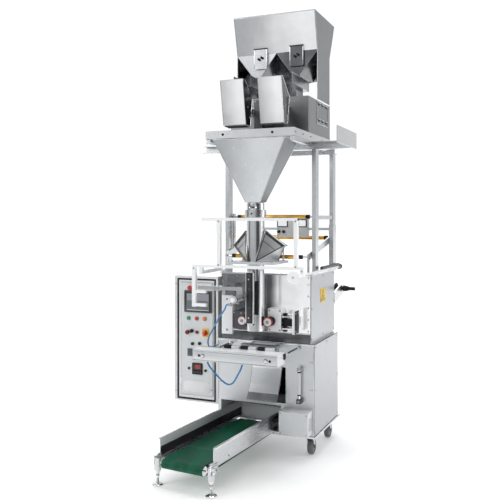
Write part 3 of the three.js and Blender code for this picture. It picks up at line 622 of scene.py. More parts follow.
# the right unit in the white enamel with a painted glow
dress("pull_unit_right", white_gloss_glow, 1.0, parts=[
    (chrome, lambda c, n: 147.5 < c.x < 224.5 and (abs(c.z - 800) < 8 or abs(c.z - 872) < 8)),
    (black, lambda c, n: 146.5 < c.x < 226.5 and 814 < c.z < 859),
    (steel, lambda c, n: c.x < 147.1 and c.y > -24)])
dress("jaw_crosshead", satin, 0.8, parts=[
    # painted highlight: the cover's top faces at the front take the white enamel with a painted glow
    (white_gloss_glow, lambda c, n: n.z > 0.7 and c.y < -300 and c.z > 680),
    (chrome, lambda c, n: abs(abs(c.x) - 228) < 10 and c.y > -285),
    (black, lambda c, n: 109 < abs(c.x) < 241 and -301 < c.y < -269 and 661 < c.z < 689)])
dress("rear_jaw", machined, 0.8)
dress("vertical_seal_bar", chrome, 0.8, parts=[(dark, lambda c, n: c.y > -232)])
dress("control_box", white, 2.0, parts=[
    (black, lambda c, n: c.y < -0.5 and -623 < c.x < -340)])
dress("control_door", door_grey, 1.0, parts=[
    (screen_grey, on_door(lambda c: 850 < c.z < 1002)),
    (orange, on_door(lambda c: 800 < c.z < 834)),
    (red, on_door(lambda c: 700 < c.z < 750 and (c.x < -525 or -490 < c.x < -458))),
    (yellow, on_door(lambda c: 690 < c.z < 760 and c.x > -445)),
    (white, on_door(lambda c: c.z < 410)),
    (black, on_door(lambda c: c.z < 1010))])
for corner in ("front_left", "front_right", "rear_left", "rear_right"):
    dress(f"caster_fork_{corner}", steel_up, 0.6)
dress("conveyor_frame", steel, 0.6, parts=[(chrome, lambda c, n: c.z < 84.5)])
dress("conveyor_foot_left conveyor_foot_right", chrome, 0.8)
dress("reel_shaft", black, 0.8)
dress("bucket_flap_left bucket_flap_right", rubber, 0.4)


# ---- turned pieces that stand for CAD nodes ----
def forming_tube():
    """The pipe with two windows near its top, its collar ring and the slot cover down its front."""
    piece = Piece().use(bright)
    sides = 96
    outer, inner, low, high = 54, 51.5, 790, 1566
    heights = [low, low + 1.0, 900, 1100, 1300, 1470, 1534, 1560, high - 1.0, high]
    grid = {}
    for surface, radius in (("out", outer), ("in", inner)):
        for h, z in enumerate(heights):
            eased = radius - 1.0 if surface == "out" and h in (0, len(heights) - 1) else radius
            for i in range(sides):
                angle = 2 * math.pi * i / sides
                grid[surface, h, i] = piece.bm.verts.new(
                    (eased * math.sin(angle), TUBE_Y - eased * math.cos(angle), z))
    window = {(6, i % sides) for base in (0, sides // 2) for i in range(base - 8, base + 8)}
    new = piece.bm.faces.new
    faces = []
    for h, i in itertools.product(range(len(heights) - 1), range(sides)):
        if (h, i) in window:
            continue
        j = (i + 1) % sides
        corners = ((h, i), (h, j), (h + 1, j), (h + 1, i))
        faces += [new([grid[(surface, *corner)] for corner in corners]) for surface in ("out", "in")]
        beside = ((h - 1, i), (h, j), (h + 1, i), (h, (i - 1) % sides))
        for cell, a, b in zip(beside, corners, corners[1:] + corners[:1]):
            if cell in window or not 0 <= cell[0] < len(heights) - 1:
                faces.append(new([grid[("out", *a)], grid[("out", *b)], grid[("in", *b)], grid[("in", *a)]]))
    piece.mark(faces)
    piece.use(steel)
    piece.lathe((0, TUBE_Y, 1478), "z", [(outer, 0), (65, 0), (66, 1), (66, 45), (65, 46), (outer, 46)], 72)
    piece.use(black).screw((0, TUBE_Y - 65.5, 1501), FRONT, 4)
    turns = [math.radians(a) for a in range(14, 43, 4)]
    slot = [piece.ring([(r * math.sin(a), TUBE_Y - r * math.cos(a), z) for a in turns])
            for r, z in ((54.0, 892), (54.9, 893), (54.9, 1096), (54.0, 1097))]
    piece.mark([new([a[i], a[i + 1], b[i + 1], b[i]])
                for a, b in zip(slot, slot[1:]) for i in range(len(turns) - 1)])
    tube = piece.done("forming_tube_skin", slot="polished")
    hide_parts("forming_tube")


forming_tube()


def roller(name, node, y, z, reach, radius, body):
    """A gold anodised idler with black end caps, a thin groove near each end and a steel shaft."""
    piece = Piece()
    half = [(0, reach), (radius - 4, reach), (radius - 1, reach - 1), (radius, reach - 2),
            (radius, reach - 26)]
    for side in (-1, 1):
        piece.use(black).lathe((0, y, z), (side, 0, 0), half[::-1], 32)
        piece.lathe((0, y, z), (side, 0, 0), [
            (radius, reach - 26), (radius - 0.8, reach - 26.4), (radius - 0.8, reach - 27.5)], 32)
    piece.use(gold).lathe((0, y, z), "x", [
        (radius - 0.8, -reach + 27), (radius - 0.2, -reach + 28), (radius - 0.2, reach - 28),
        (radius - 0.8, reach - 27)], 40)
    piece.use(chrome).rod((0, y, z), "x", 6, -281, -reach + 2).rod((0, y, z), "x", 6, reach - 2, 281)
    made = piece.done(name, body, "gold_anodised")
    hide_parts(node)


IDLERS = {"top": (150, 1483), "low": (38, 1232), "rear": (553, 1339)}  # y and z of each film roller
roller("idler_top", "film_roller_top", *IDLERS["top"], 250, 13, "film_roller_top")
roller("idler_low", "film_roller_low", *IDLERS["low"], 240, 13, "film_roller_low")
roller("idler_rear", "film_roller_rear", *IDLERS["rear"], 250, 15, "film_roller_rear")


def pull_wheel(side, hand):
    """A film pull wheel: red front rim and ribbed black tread on a white hub, its cap screw and its shaft."""
    x, y, z = side * PULL_X, TUBE_Y, PULL_Z
    piece = Piece()
    piece.use(red_tread).lathe((x, y, z), "y", [
        (23, -18), (27.6, -18), (29, -16), (29, -4), (28.2, -3.5), (26, -3.2)], 48)
    ribs = [(26, -3.2), (28.4, -2.8)]
    for groove in range(7):
        h = -2.4 + groove * 5.5
        ribs += [(29, h), (29, h + 2.4), (28.2, h + 2.9), (28.2, h + 4.2)]
    piece.use(black).lathe((x, y, z), "y", ribs + [(29, 36.2), (27.5, 38), (0, 38)], 48)
    piece.use(white).lathe((x, y, z), "y", [
        (9, -22), (10, -22), (11, -21), (11, -19.5), (16, -19.5), (17, -20.5),
        (22, -21), (24.4, -19.5), (24.4, -17)], 40)
    piece.use(dark).lathe((x, y, z), "y", [(9.2, -22.0), (8, -20.6), (0, -20.6)], 32)
    piece.use(machined).rod((x, y, z), "y", 8, 36, 108).screw((x, y - 20.8, z), (0, -1, 0), 4.5, 3)
    made = piece.done(f"pull_wheel_{hand}", f"pull_roller_{hand}", "pull_wheel")
    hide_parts(f"pull_roller_{hand}")


for side, hand in HANDS:
    pull_wheel(side, hand)


def caster(end, hand, side, swivel_y):
    """Wheel with a ridged rubber tread, moulded centre and bearing cap; axle nut, swivel cap and brake tab."""
    x, y, z = side * 279, swivel_y + 22, 50
    tread = [(34, -15), (44, -16), (48.6, -13.5), (50, -9)]
    tread += [(50, -6), (49.1, -5.4), (49.1, -4.2), (50, -3.6), (50, 3.6), (49.1, 4.2), (49.1, 5.4), (50, 6)]
    tread += [(50, 9), (48.6, 13.5), (44, 16), (34, 15)]
    piece = Piece().use(rubber).lathe((x, y, z), "x", tread, 56)
    piece.use(hub)
    for face in (-1, 1):
        piece.lathe((x, y, z), (face, 0, 0), [
            (35, 12), (34, 14), (31, 14), (29, 10), (17, 9), (15, 15), (12, 16), (6.8, 16), (6.8, 0)], 40)
        for spoke in range(6):
            angle = math.radians(spoke * 60)
            along = Vector((0, math.cos(angle), math.sin(angle)))
            middle = Vector((x + face * 10, y, z)) + along * 22.5
            piece.block(
                middle.x - 2.5, middle.x + 2.5, middle.y - 2, middle.y + 2, middle.z - 7.5, middle.z + 7.5,
                0.8, (90 - math.degrees(angle), "x"))
    made = piece.done(f"wheel_{end}_{hand}", f"caster_wheel_{end}_{hand}", "wheel_rubber")
    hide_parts(f"caster_wheel_{end}_{hand}")
    trim = Piece().use(black)
    for face in (-1, 1):
        trim.lathe((x + face * 22, y, z), (face, 0, 0), [
            (11, 0), (11, 1.2), (7.5, 1.4), (7.5, 3.6), (0, 4.4)], 6)
    trim.use(machined).lathe((x, swivel_y, 106), "z", [(25, 4), (29, 8), (29, 10), (25, 12)], 40)
    trim.use(dark).block(x - 30, x + 30, swivel_y - 30, swivel_y + 30, 119, 125.4, 1.2)
    trim.use(black).block(x - 13, x + 13, y - 42, y - 30, 96, 101, 1.5, (-24, "x"))
    trim.done(f"caster_trim_{end}_{hand}", f"caster_fork_{end}_{hand}")


for side, hand in HANDS:
    caster("front", hand, side, 71)
    caster("rear", hand, side, 432)


# ---- fastenings and seams, one piece for each panel that carries them ----
def screws(name, axis, radius, tall, *groups, finish=machined):
    """One piece of screws, in groups of x, y and z values."""
    piece = Piece().use(finish)
    for group in groups:
        piece.screws(*group, axis, radius, tall)
    piece.done(name)


screws("front_plate_screws", FRONT, 3.6, 2.2, ((-288, 288), 0, (778, 850, 922, 994, 1066, 1106)),
       ((-190, 190), 0, (778, 1106)))
screws("cabinet_edge_screws", FRONT, 3.4, 2, ((303, 314), 0, (250, 420, 590)), (-312, 0, (420, 590)))
screws("lower_panel_screws", RIGHT, 3.8, 2.4, (327.3, (18, 512), (156, 418, 680)), (327.3, 265, (156, 680)))
screws("upper_panel_screws", RIGHT, 3.8, 2.4, (302.3, (26, 510), (726, 914, 1102)), (302.3, 268, (726, 1102)))
screws("tray_screws", FRONT, 5.5, 3.5, ((-170, 150), -260, 1979), finish=black)
screws("tray_side_screws", RIGHT, 4.5, 3, (285, (-230, -90, 60, 300, 500), 1980))
screws("drive_box_screws", RIGHT, 4, 2.6, (265, (84, 530), (2022, 2222)))
screws("hopper_cheek_screws", RIGHT, 5, 3.4, ((-280, 280), (235, 350, 465), 2256))
screws("motor_cover_screws", FRONT, 3.6, 2.2, ((142, 305), -100, (172, 288)))
screws("platform_screws", RIGHT, 5, 1.2, (548.6, (-250, -90, 60, 130), (1925, 1975)))
screws("post_foot_screws", FRONT, 4, 2.5, ((-297, 297), (82, 470), 1150))


def panel_seams():
    """Folded hems on the cabinets, the lower one's base flange, the dark joint between the two, and the painted
    shade of the recessed band above that joint.
    """
    piece = Piece().use(bright)
    piece.block(-326, 326, -3.2, -0.2, 690, 700, 1.0)
    piece.block(-300, 300, -2.4, -0.2, 758, 764, 1.0)
    # painted shade: the recessed band under the upper cabinet in the darkest stainless
    piece.use(recess_shade).block(-298, 298, 1.0, 4.6, 701, 757, 0.6)
    piece.use(black).block(-324, 324, -1.0, 0.6, 699.5, 701.5, 0.3)
    piece.block(326.9, 327.7, 4, 528, 696.5, 699.5, 0.3)
    piece.use(bright).block(321, 325.5, -3.2, 2, 138, 690, 0.9)
    piece.block(-325.5, -321, -3.2, 2, 310, 690, 0.9)
    piece.done("cabinet_hems")
    lip = Piece().use(bright).block(-332.5, 332.5, -7.5, -5.5, 124, 136, 0.8)
    lip.block(330.5, 332.8, -7, 556, 124, 136, 0.8).block(-332.8, -330.5, -7, 556, 124, 136, 0.8)
    lip.block(-332.5, 332.5, 554.5, 556.5, 124, 136, 0.8)
    lip.done("base_flange_lip")


panel_seams()


def generic_plate():
    """A yellow plate on the cabinet's side with a plain triangle and three bars."""
    piece = Piece().use(yellow).block(302.6, 303.6, 202, 316, 934, 1022, 0.4)
    piece.use(black)
    piece.prism([(259, 1014), (232, 968), (286, 968)], "x", 303.6, 304.0)
    piece.use(yellow).prism([(259, 1003), (241, 973), (277, 973)], "x", 304.0, 304.3)
    piece.use(black)
    for z in (942, 950, 958):
        piece.block(303.6, 303.9, 214, 304, z, z + 3, 0.1)
    piece.done("side_plate_yellow", slot="white_paint")


generic_plate()


# ---- hopper and weigher ----
def hopper_trim():
    """The rolled rim and welded corner beads of the hopper, its throats' dark lips and, behind them, a dark
    sheet of painted shade.
    """
    rim = [(-276, 154, 2797), (276, 154, 2797), (276, 599, 2797), (-276, 599, 2797)]
    wall, front, back, bend = 279, 212.5, 489.5, 2556
    piece = Piece().use(bright).beads(rim + rim[:1], 3.6, 12).use(steel)
    for s in (-1, 1):
        piece.beads([(s * wall, front, THROATS), (s * wall, 151, 2796)], 2.0)
        piece.beads([(s * wall, back, THROATS), (s * wall, 602, 2796)], 2.0)
        piece.beads([(s * 278, front, bend), (s * 160, front, 2402)], 1.8)
        piece.beads([(s * 2, front, bend), (s * 116, front, 2402)], 1.8)
        piece.beads([(s * wall, front, 2245), (s * wall, front, bend)], 2.2)
    piece.beads([(-278, front, THROATS), (278, front, THROATS)], 1.6).use(dark)
    for s in (-1, 1):
        piece.block(s * 138 - 24, s * 138 + 24, 209.5, 213, 2398, 2408, 0.6)
    # painted shade: a dark sheet on the rear wall behind the throats
    piece.use(shadowed).block(-276.5, 276.5, 486.4, 488.4, 2404, THROATS, 0.3)
    piece.done("hopper_trim", slot="polished")


hopper_trim()


def gate_trim(side, hand):
    """Two black knurled knobs, the dark top lip and the guide strips of a hopper gate."""
    x = 18 + side * 125
    piece = Piece().use(black)
    for dx in (-10, 10):
        z = 2528 + dx / 2
        grip = [(0, -1.0), (6.4, -1.0), (7.6, 0.2), (7.6, 3)]
        for ridge in range(4):
            h = 3 + ridge * 3
            grip += [(7.9, h + 0.5), (7.5, h + 1.5), (7.5, h + 2)]
        piece.lathe((x + dx, 182, z), "y", grip + [(6.8, 16.6), (4, 16.6)], 20)
    piece.use(dark).block(x - 48.4, x + 48.4, 189.4, 201.4, 2593, 2595, 0.8)
    piece.use(bright)
    for s in (-1, 1):
        piece.block(x + s * 44 - 2, x + s * 44 + 2, 196.4, 199, 2464, 2590, 0.6)
    piece.done(f"gate_trim_{hand}", f"hopper_gate_{hand}", "polished")


def bucket_trim(side, hand):
    """A weigh bucket's folded edges and side bolts, and the hanger on its back."""
    x = side * BUCKET
    half = 74.6
    piece = Piece()
    for s in (-1, 1):
        edge = x + s * half
        piece.use(bright).beads([(edge, -190, 2043), (edge, -240, 2310)], 1.6)
        piece.beads([(edge, -240, 2311), (edge, -215, 2315.5), (edge, -92.5, 2215), (edge, -124, 2043)], 1.6)
        piece.use(machined).screw((edge, -160, 2150), (s, 0, 0), 4.5, 3)
        piece.screw((edge, -130, 2090), (s, 0, 0), 4.5, 3)
        piece.screw((x + s * 18, -96, 2160), FRONT, 4, 3)
    piece.use(bright).beads([(x - half, -240, 2310.5), (x + half, -240, 2310.5)], 1.8)
    piece.beads([(x - half, -190, 2043), (x + half, -190, 2043)], 1.6)
    piece.use(steel).block(x - 30, x + 30, -96, -84, 2140, 2205, 1.2)
    piece.done(f"bucket_trim_{hand}", "machine", "polished")


for side, hand in HANDS:
    gate_trim(side, hand)
    bucket_trim(side, hand)


def drive_box_face():
    """The recessed panel and hooded louvres on the drive box's right face, and the flanges of its arms."""
    piece = Piece().use(steel)
    piece.block(265, 267.2, 250, 500, 2086, 2092, 1).block(265, 267.2, 250, 500, 2232, 2237, 1)
    piece.block(265, 267.2, 248, 254, 2086, 2237, 1).block(265, 267.2, 496, 502, 2086, 2237, 1)
    for z in (2120, 2225):
        for y in (270, 350, 430):
            # black behind each louvre hood: painted shade in its opening
            piece.use(black).block(262.5, 264.5, y + 1, y + 45, z - 13, z - 1, 0.4)
            piece.use(steel).prism(
                [(y - 2, z + 3), (y + 48, z + 3), (y + 46, z - 3), (y, z - 3)], "x", 265, 270, 0.8)
    piece.done("drive_box_louvres")
    arms = Piece().use(dark).block(-100, 100, 66.8, 69.9, 2012, 2232, 1.0)
    arms.use(black).block(-40, 40, 56, 67, 2030, 2118, 3.0).block(-22, 22, 48, 67, 2150, 2196, 3.0)
    arms.use(steel)
    for s in (-1, 1):
        arms.block(s * BUCKET - 24, s * BUCKET + 24, 64, 70, 2130, 2182, 1.5)
    arms.use(machined).screws((-88, 88), 66.8, (2022, 2222), FRONT, 4, 3)
    arms.screws((-28, 28), 56, (2042, 2106), FRONT, 4, 3)
    arms.screws((-139, -105, 105, 139), 64, (2138, 2174), FRONT, 4, 3)
    arms.done("bucket_arm_flanges")


drive_box_face()


def feeder_trim():
    """Hems on the feeder pans, and the rubber feet and screws of their vibrators."""
    piece = Piece()
    for s in (-1, 1):
        piece.use(steel)
        for x in (78.5, 195.5):
            piece.beads([(s * x, -40, 2371), (s * x, 299, 2371)], 2.0)
        x = s * 135  # the vibrators
        piece.use(black)
        for y in (128, 232):
            piece.lathe((x, y, 2240.3), "z", [(16, 0), (13, 10), (13, 20), (16, 30)], 24)
        piece.use(machined).screw((x, 150, 2280), FRONT, 5, 3.5)
    piece.done("feeder_trim")


feeder_trim()


# ---- funnel, tube and collar ----
def funnel_trim():
    """Corner seams of the funnel, its top flange and the band clamp round its neck."""
    piece = Piece().use(bright)
    low = [(-48, -198), (48, -198), (48, -102), (-48, -102)]
    high = [(-232, -262), (228, -262), (228, -22), (-232, -22)]
    for near, far in zip(low, high):
        piece.beads([(*near, 1571), (*far, 1949)], 1.7)
    piece.use(steel).beads([(*corner, 1948) for corner in high + high[:1]], 2.6)
    piece.use(chrome).lathe((0, TUBE_Y, 1548), "z", [(49, 0), (50.6, 0.6), (50.6, 12), (49, 12.6)], 56)
    piece.use(machined).block(-9, 9, TUBE_Y - 60, TUBE_Y - 50, 1549, 1560, 1)
    piece.screw((9, TUBE_Y - 55, 1554.5), RIGHT, 3.4, 3)
    piece.done("funnel_trim")


funnel_trim()


def collar_trim():
    """The dark borders and edge beads of the forming collar's wings, its stays and their nuts."""
    piece = Piece()
    for s in (-1, 1):
        ring = [(s * 66, -150, 1392), (s * 168, -96, 1302), (s * 112, -58, 1208), (s * 27, -224, 1206)]
        rear = [(s * 66, -153, 1397), (s * 167, -99, 1306), (s * 150, 9, 1303), (s * 29, -78, 1403)]
        piece.use(screen_grey).beads(ring, 2.0).beads(rear, 1.8)
        top, tip, _, foot = [Vector(p) + Vector((s, -2.5, 5)) for p in ring]
        piece.band(top, tip, foot, 0, 17, 0.3).band(top, tip, foot, 58, 61, 0.3)
        piece.band(tip, foot, top, 0, 6, 0.5).band(foot, top, tip, 0, 5, 0.5)
        piece.use(chrome).rod((s * 136, -30, 1211), "z", 5, 0, 84)
        piece.use(machined).lathe((s * 136, -30, 1211), "z", [(0, 0), (9, 0), (9, 6), (5, 6)], 6)
        piece.lathe((s * 132, -206, 1211), "z", [(0, 0), (8, 0), (8, 7), (4, 8), (0, 8)], 6)
    piece.done("collar_trim")


collar_trim()


# ---- film frame ----
def film_panel():
    """The white sensor panel behind the collar, with two framed windows that glow with painted light and two
    knobs, and the shafts' nuts.
    """
    piece = Piece().use(white).block(-105.5, 130.5, 498.6, 500, 1341.5, 1470.5, 0.5)
    for x0, x1, z0, z1 in ((-103, -23, 1411, 1466), (52, 115, 1411, 1466)):
        piece.use(gloss_black).block(x0, x1, 495, 499, z0, z1, 1.5)
        piece.use(window_painted_glow).block(x0 + 7, x1 - 7, 494.2, 496, z0 + 7, z1 - 7, 1.0)
    piece.use(black)
    for x in (-90, -55):
        piece.lathe((x, 499, 1380), FRONT, [(11, 0), (11, 2), (9, 3), (9, 13), (7.5, 15), (0, 15)], 28)
        piece.use(machined).block(x - 1.0, x + 1.0, 483, 484.4, 1380, 1388, 0.3).use(black)
    piece.use(machined).screws((-97, 122), 498.6, (1350, 1400), FRONT, 3, 2)
    piece.done("film_sensor_panel", slot="white_paint")
    nuts = Piece().use(machined)
    for s in (-1, 1):
        for y, z in IDLERS.values():
            nuts.lathe((s * 281, y, z), (s, 0, 0), [(10, 0), (10, 2), (7.5, 2.2), (7.5, 7), (0, 8)], 6)
    nuts.done("film_frame_nuts")


film_panel()


def reel_trim():
    """Chucks and the end collar of the reel shaft."""
    piece = Piece().use(black)
    y, z = 740, 975
    chuck = [(12, 246), (34, 248), (36, 250), (36, 262), (34, 264), (22, 268), (12, 268)]
    for s in (-1, 1):
        piece.lathe((0, y, z), (s, 0, 0), chuck, 40)
    piece.lathe((0, y, z), RIGHT, [(12, 340), (15, 341), (15.5, 343), (15.5, 350), (12, 352)], 32)
    piece.use(machined).screws((-257, 257), y, z + 34, UP, 4, 4)
    piece.done("reel_chucks", "reel_shaft", "black_plastic")


reel_trim()


# ---- guard frame ----
def guard_trim():
    """End plugs, the rail's white disc, rear knob and toothed rack, and the screws of the guard frame."""
    piece = Piece().use(black)
    for x, z in ((-318, 1467), (301, 1467), (-386, 1180), (-386, 1022), (-386, 940)):
        s = -1 if x < 0 else 1
        piece.block(*sorted((x - s * 3, x + s * 0.8)), -246.4, -223.6, z - 8.4, z + 8.4, 1.5)
    piece.block(-385.4, -362.6, -246.4, -223.6, 927.2, 931, 1.5)
    piece.lathe((327, 547, 1143), "y", [
        (13, -1), (17.6, 1), (18.4, 6), (18.4, 28), (15, 32.6), (0, 32.9)], 32)
    piece.use(dark)
    for tooth in range(26):
        y = 153 + tooth * 15
        piece.block(317, 337, y, y + 8.5, 1162, 1168, 1.2)
    piece.block(316.5, 337.5, 149, 541, 1157, 1164, 1.2)
    # the white disc in the white enamel with a painted glow
    piece.use(white_gloss_glow).lathe((318, -373, 1140), FRONT, [
        (36.4, -13), (37, -11), (37, -2), (34, 0.6), (8, 0.8), (0, 0.8)], 48)
    piece.use(chrome).screw((318, -373.4, 1140), FRONT, 5, 2.2)
    piece.use(machined).screws((-206, 289), -247, (1190, 1455), FRONT, 4, 2.4)
    piece.screws((-374, 327), -247, 1166, FRONT, 4, 2.4)
    piece.done("guard_trim", slot="white_paint")


guard_trim()


# ---- pull units ----
def pull_units_trim():
    """Plates, screws, clamp blocks and end caps on both film pull units, and the seal cylinder's fittings."""
    cap = [(26, -1), (26, 3), (22, 5), (9.5, 5)]
    right = Piece().use(black).block(238.5, 242.5, -119, -45, 777, 913, 1.0)
    right.use(white).block(231, 238.6, -121, -43, 774, 916, 1.0)
    right.use(black).block(149, 172, -74, -50, 780, 893, 1.5).use(chrome)
    for y, z in itertools.product((-84, -40), (800, 872)):
        right.rod((226, y, z), "x", 9.5, -4, 0.5).lathe((148, y, z), RIGHT, [(12, 0), (12, 3), (7.2, 4)], 24)
    right.use(machined).screws((70, 138), -100, (792, 910), FRONT, 4.5, 3)
    right.screws(242.5, (-108, -56), (790, 900), RIGHT, 4.5, 3)
    right.use(gloss_black).lathe((PULL_X, -101, PULL_Z), FRONT, cap, 40)
    right.done("pull_trim_right", slot="white_paint")
    left = Piece().use(gloss_black).lathe((-PULL_X, -101, PULL_Z), FRONT, cap, 40)
    # the left plate in the white enamel with a painted glow
    left.use(white_gloss_glow).block(-246.5, -175.5, -109.4, -107.6, 752, 988, 0.6)
    left.use(machined).screws(-211, -109.4, (775, 968), FRONT, 5.5, 3.4)
    left.screws((-168, -118, -70), -100, 884, FRONT, 4, 2.6).screws((-236, -212), -232, 1047, FRONT, 4.5, 3)
    x, z = -72, 992  # the seal cylinder
    # the seal cylinder's cap in the white enamel with a painted glow
    left.use(white_gloss_glow).lathe((x, -342, z), FRONT, [
        (15.4, -13), (15.8, -12), (15.8, -2), (14, 0), (6, 0.5), (0, 0.5)], 40)
    left.use(pale_plate).lathe((x, -330, z), "y", [
        (16, -0.4), (21.6, -0.2), (22.6, 1), (22.6, 10), (21.6, 11), (21.6, 119), (22.8, 120), (22.8, 129)], 40)
    left.use(black)
    for y in (-312, -216):
        left.lathe((x, y, z), "y", [(22.3, -2), (23.2, -1.4), (23.2, 1.4), (22.3, 2)], 40)
    left.use(machined)
    for y in (-322, -228):
        left.lathe((x - 10, y, 954.6), "z", [(0, 0), (7.6, 0.4), (7.6, 14), (8.8, 14.6), (8.8, 18)], 24)
        left.lathe((-104.6, y, 962), RIGHT, [(5.4, 0), (8.2, 0.6), (8.2, 6), (7.3, 7.5), (7.3, 14)], 24)
    left.done("pull_trim_left")
    port = Piece().use(machined).lathe((-334, -22, 650), "y", [
        (5.4, -0.2), (8.6, 0), (8.6, 8), (8.2, 9), (8.2, 16), (9.6, 17), (9.6, 21.5)], 6)
    port.use(hose_blue).lathe((-334, -22, 650), "y", [(5.4, -2.0), (8.0, -1.6), (8.0, 0.4)], 24)
    port.done("hose_port")


pull_units_trim()


def seal_bar_trim():
    """Heater face, bright edge strips and cap screws of the vertical sealing bar."""
    low, high = 846, 1148
    piece = Piece().use(black).block(-24.6, 24.6, -247, -244, low, high, 0.8)
    piece.use(gloss_black).block(-15, 15, -249.5, -246.6, 852, 1142, 1.0)
    piece.use(chrome)
    for x in (-25.2, 21):
        piece.block(x, x + 4.2, -247.8, -230, low, high, 0.8)
    piece.use(dark).screws(0, -249.5, (866, 940, 1050, 1130), FRONT, 4.5, 3)
    piece.done("seal_bar_trim", "vertical_seal_bar", "dark_steel")


seal_bar_trim()


# ---- sealing jaws ----
def jaw_trim():
    """The jaw cover's folds and caps, the blocks and rod clamps behind it, the ribbed jaw face, the hose
    fittings, and the rear jaw's rubber."""
    face = -402.6  # the jaw cover's front
    piece = Piece().use(satin).block(-292, 228, -402.9, -401.7, 640, 688, 0.5)
    piece.block(-300.4, 236.4, -402.8, -396, 690, 698.6, 1.0)
    piece.block(-300.4, 236.4, -402.8, -399, 632.6, 637, 0.8).use(dark)
    piece.block(-300, 236, -403.1, -402.2, 688.4, 689.8, 0.2)
    piece.block(-300, 236, -403.1, -402.2, 637.4, 638.6, 0.2)
    for x in (-148, -40, 68):
        piece.use(black).block(x, x + 44, -292, -262, 690, 716, 2)
        piece.use(white).block(x + 48, x + 100, -290, -264, 690, 714, 2)
    for x in (-235, 165):
        piece.use(dark).lathe((x, face, 664), FRONT, [(13, -0.5), (13, 1), (11, 1.6)], 28)
        piece.use(chrome).lathe((x, face, 664), FRONT, [(11, -0.5), (11, 3), (9, 5), (5, 5.4), (0, 5.4)], 28)
    piece.use(black).screws((-258, 190), face, 664, FRONT, 5.5, 3.6)
    for s in (-1, 1):
        piece.use(black).block(s * 228 - 15, s * 228 + 15, -304, -284, 658, 692, 2)
        piece.use(chrome).rod((s * 228, -296, 675), "y", 9.6, -12, 8)
        piece.use(machined).screw((s * 228, -294, 692), UP, 4, 3)
    piece.use(machined)
    for x in range(-112, 116, 8):
        piece.block(x, x + 4, -197.2, -195.2, 657, 690, 0.3)
    piece.use(hose_blue)
    for x in (-215, 9):
        piece.lathe((x, -375, 639.2), "z", [(5.4, 0), (8.4, 0.6), (8.4, 7), (7.2, 8.5), (7.2, 14)], 24)
    piece.done("jaw_trim", "jaw_crosshead")
    rear = Piece().use(rubber).block(-118, 118, -106, -103.6, 668, 680, 0.6)
    rear.use(machined).screws((-100, -35, 35, 100), -80, 692, UP, 4.5, 3)
    rear.done("rear_jaw_trim", "rear_jaw", "dark_steel")


jaw_trim()


# ---- deflector chute ----
def chute_trim():
    """Rolled edges of the chute, its fold with a row of short bright stitches, and the screws of its lugs."""
    edge = Piece().use(bright)
    run = [(12, 566), (-8, 533), (-24, 490), (-45, 439), (-72, 392), (-100, 350)]
    for x in (-81.5, 116.5):
        edge.sweep([(x, y + 1, z) for y, z in run], 1.8, 8)
    edge.use(shaded).sweep([(-82, -100, 350), (117, -100, 350)], 1.8, 8)
    # painted shade: a darker line along the chute's fold
    edge.use(dull_shaded).sweep([(-80, -72.6, 392), (115, -72.6, 392)], 1.2, 8)
    edge.use(white)
    for slot in range(11):
        x = -74 + slot * 17.4
        edge.block(x, x + 9, -72.8, -69.6, 395.6, 398.4, 0.3, (30, "x"))
    edge.use(machined).screws((-104, 152), 7.4, 590, BACK, 4, 2.6)
    edge.done("chute_edges")


chute_trim()


# ---- actuator rod beside the chute ----
def actuator():
    """An upright chrome rod between a bracket and a dark foot clamp, to the right of the chute."""
    foot = (237, -26, 0)
    piece = Piece().use(chrome).rod(foot, "z", 7.5, 348, 560).use(white).rod(foot, "z", 10, 392, 528)
    piece.use(black).rod(foot, "z", 10.6, 386, 394).rod(foot, "z", 10.6, 526, 534)
    piece.use(dark).block(222, 252, -42, -0.4, 338, 366, 2)
    piece.use(machined).block(224, 250, -38, -0.4, 538, 556, 2)
    piece.screw((237, -42, 352), FRONT, 4.5, 3).screw((237, -38, 547), FRONT, 4.5, 3)
    piece.done("chute_actuator")


actuator()


# ---- control box ----
def rounded(x0, x1, z0, z1, radius, steps=6):
    """The outline of a rectangle with round corners, as (x, z) points."""
    points = []
    for cx, cz, start in ((x1 - radius, z1 - radius, 0), (x0 + radius, z1 - radius, 90),
                          (x0 + radius, z0 + radius, 180), (x1 - radius, z0 + radius, 270)):
        for step in range(steps + 1):
            angle = math.radians(start + 90 * step / steps)
            points.append((cx + radius * math.cos(angle), cz + radius * math.sin(angle)))
    return points


def framed(piece, x0, x1, z0, z1, inset, radius, y0, y1):
    """A flat ring between two round cornered rectangles, from y0 (front) to y1."""
    outer = rounded(x0, x1, z0, z1, radius)
    inner = rounded(x0 + inset, x1 - inset, z0 + inset, z1 - inset, max(0.5, radius - inset))
    piece.skin([piece.ring([(x, y, z) for x, z in line])
                for line, y in ((outer, y0), (inner, y0), (inner, y1), (outer, y1))], True)


def door_panel():
    """The door's own face: a rounded skin, its hinge pins and the two quarter-turn locks."""
    piece = Piece().use(door_grey)
    framed(piece, -593.5, -361.5, 314.5, 1050.5, 5, 14, DOOR - 1.0, DOOR + 0.5)
    piece.use(chrome)
    for z in (400, 965):
        piece.rod((-594, DOOR, z), "z", 2.6, -24, 24)
        piece.use(white).block(-593.6, -586, -4.8, -3, z - 20, z + 20, 0.6).use(chrome)
    piece.use(machined)
    for z in (356, 1034):
        piece.lathe((-371, DOOR, z), FRONT, [(7, 0), (7, 1.5), (5.5, 2.2), (0, 2.2)], 24)
        piece.use(black).block(-373.6, -368.4, DOOR - 2.6, DOOR - 2, z - 0.8, z + 0.8, 0.1).use(machined)
    piece.done("door_skin", "control_door", "white_paint")


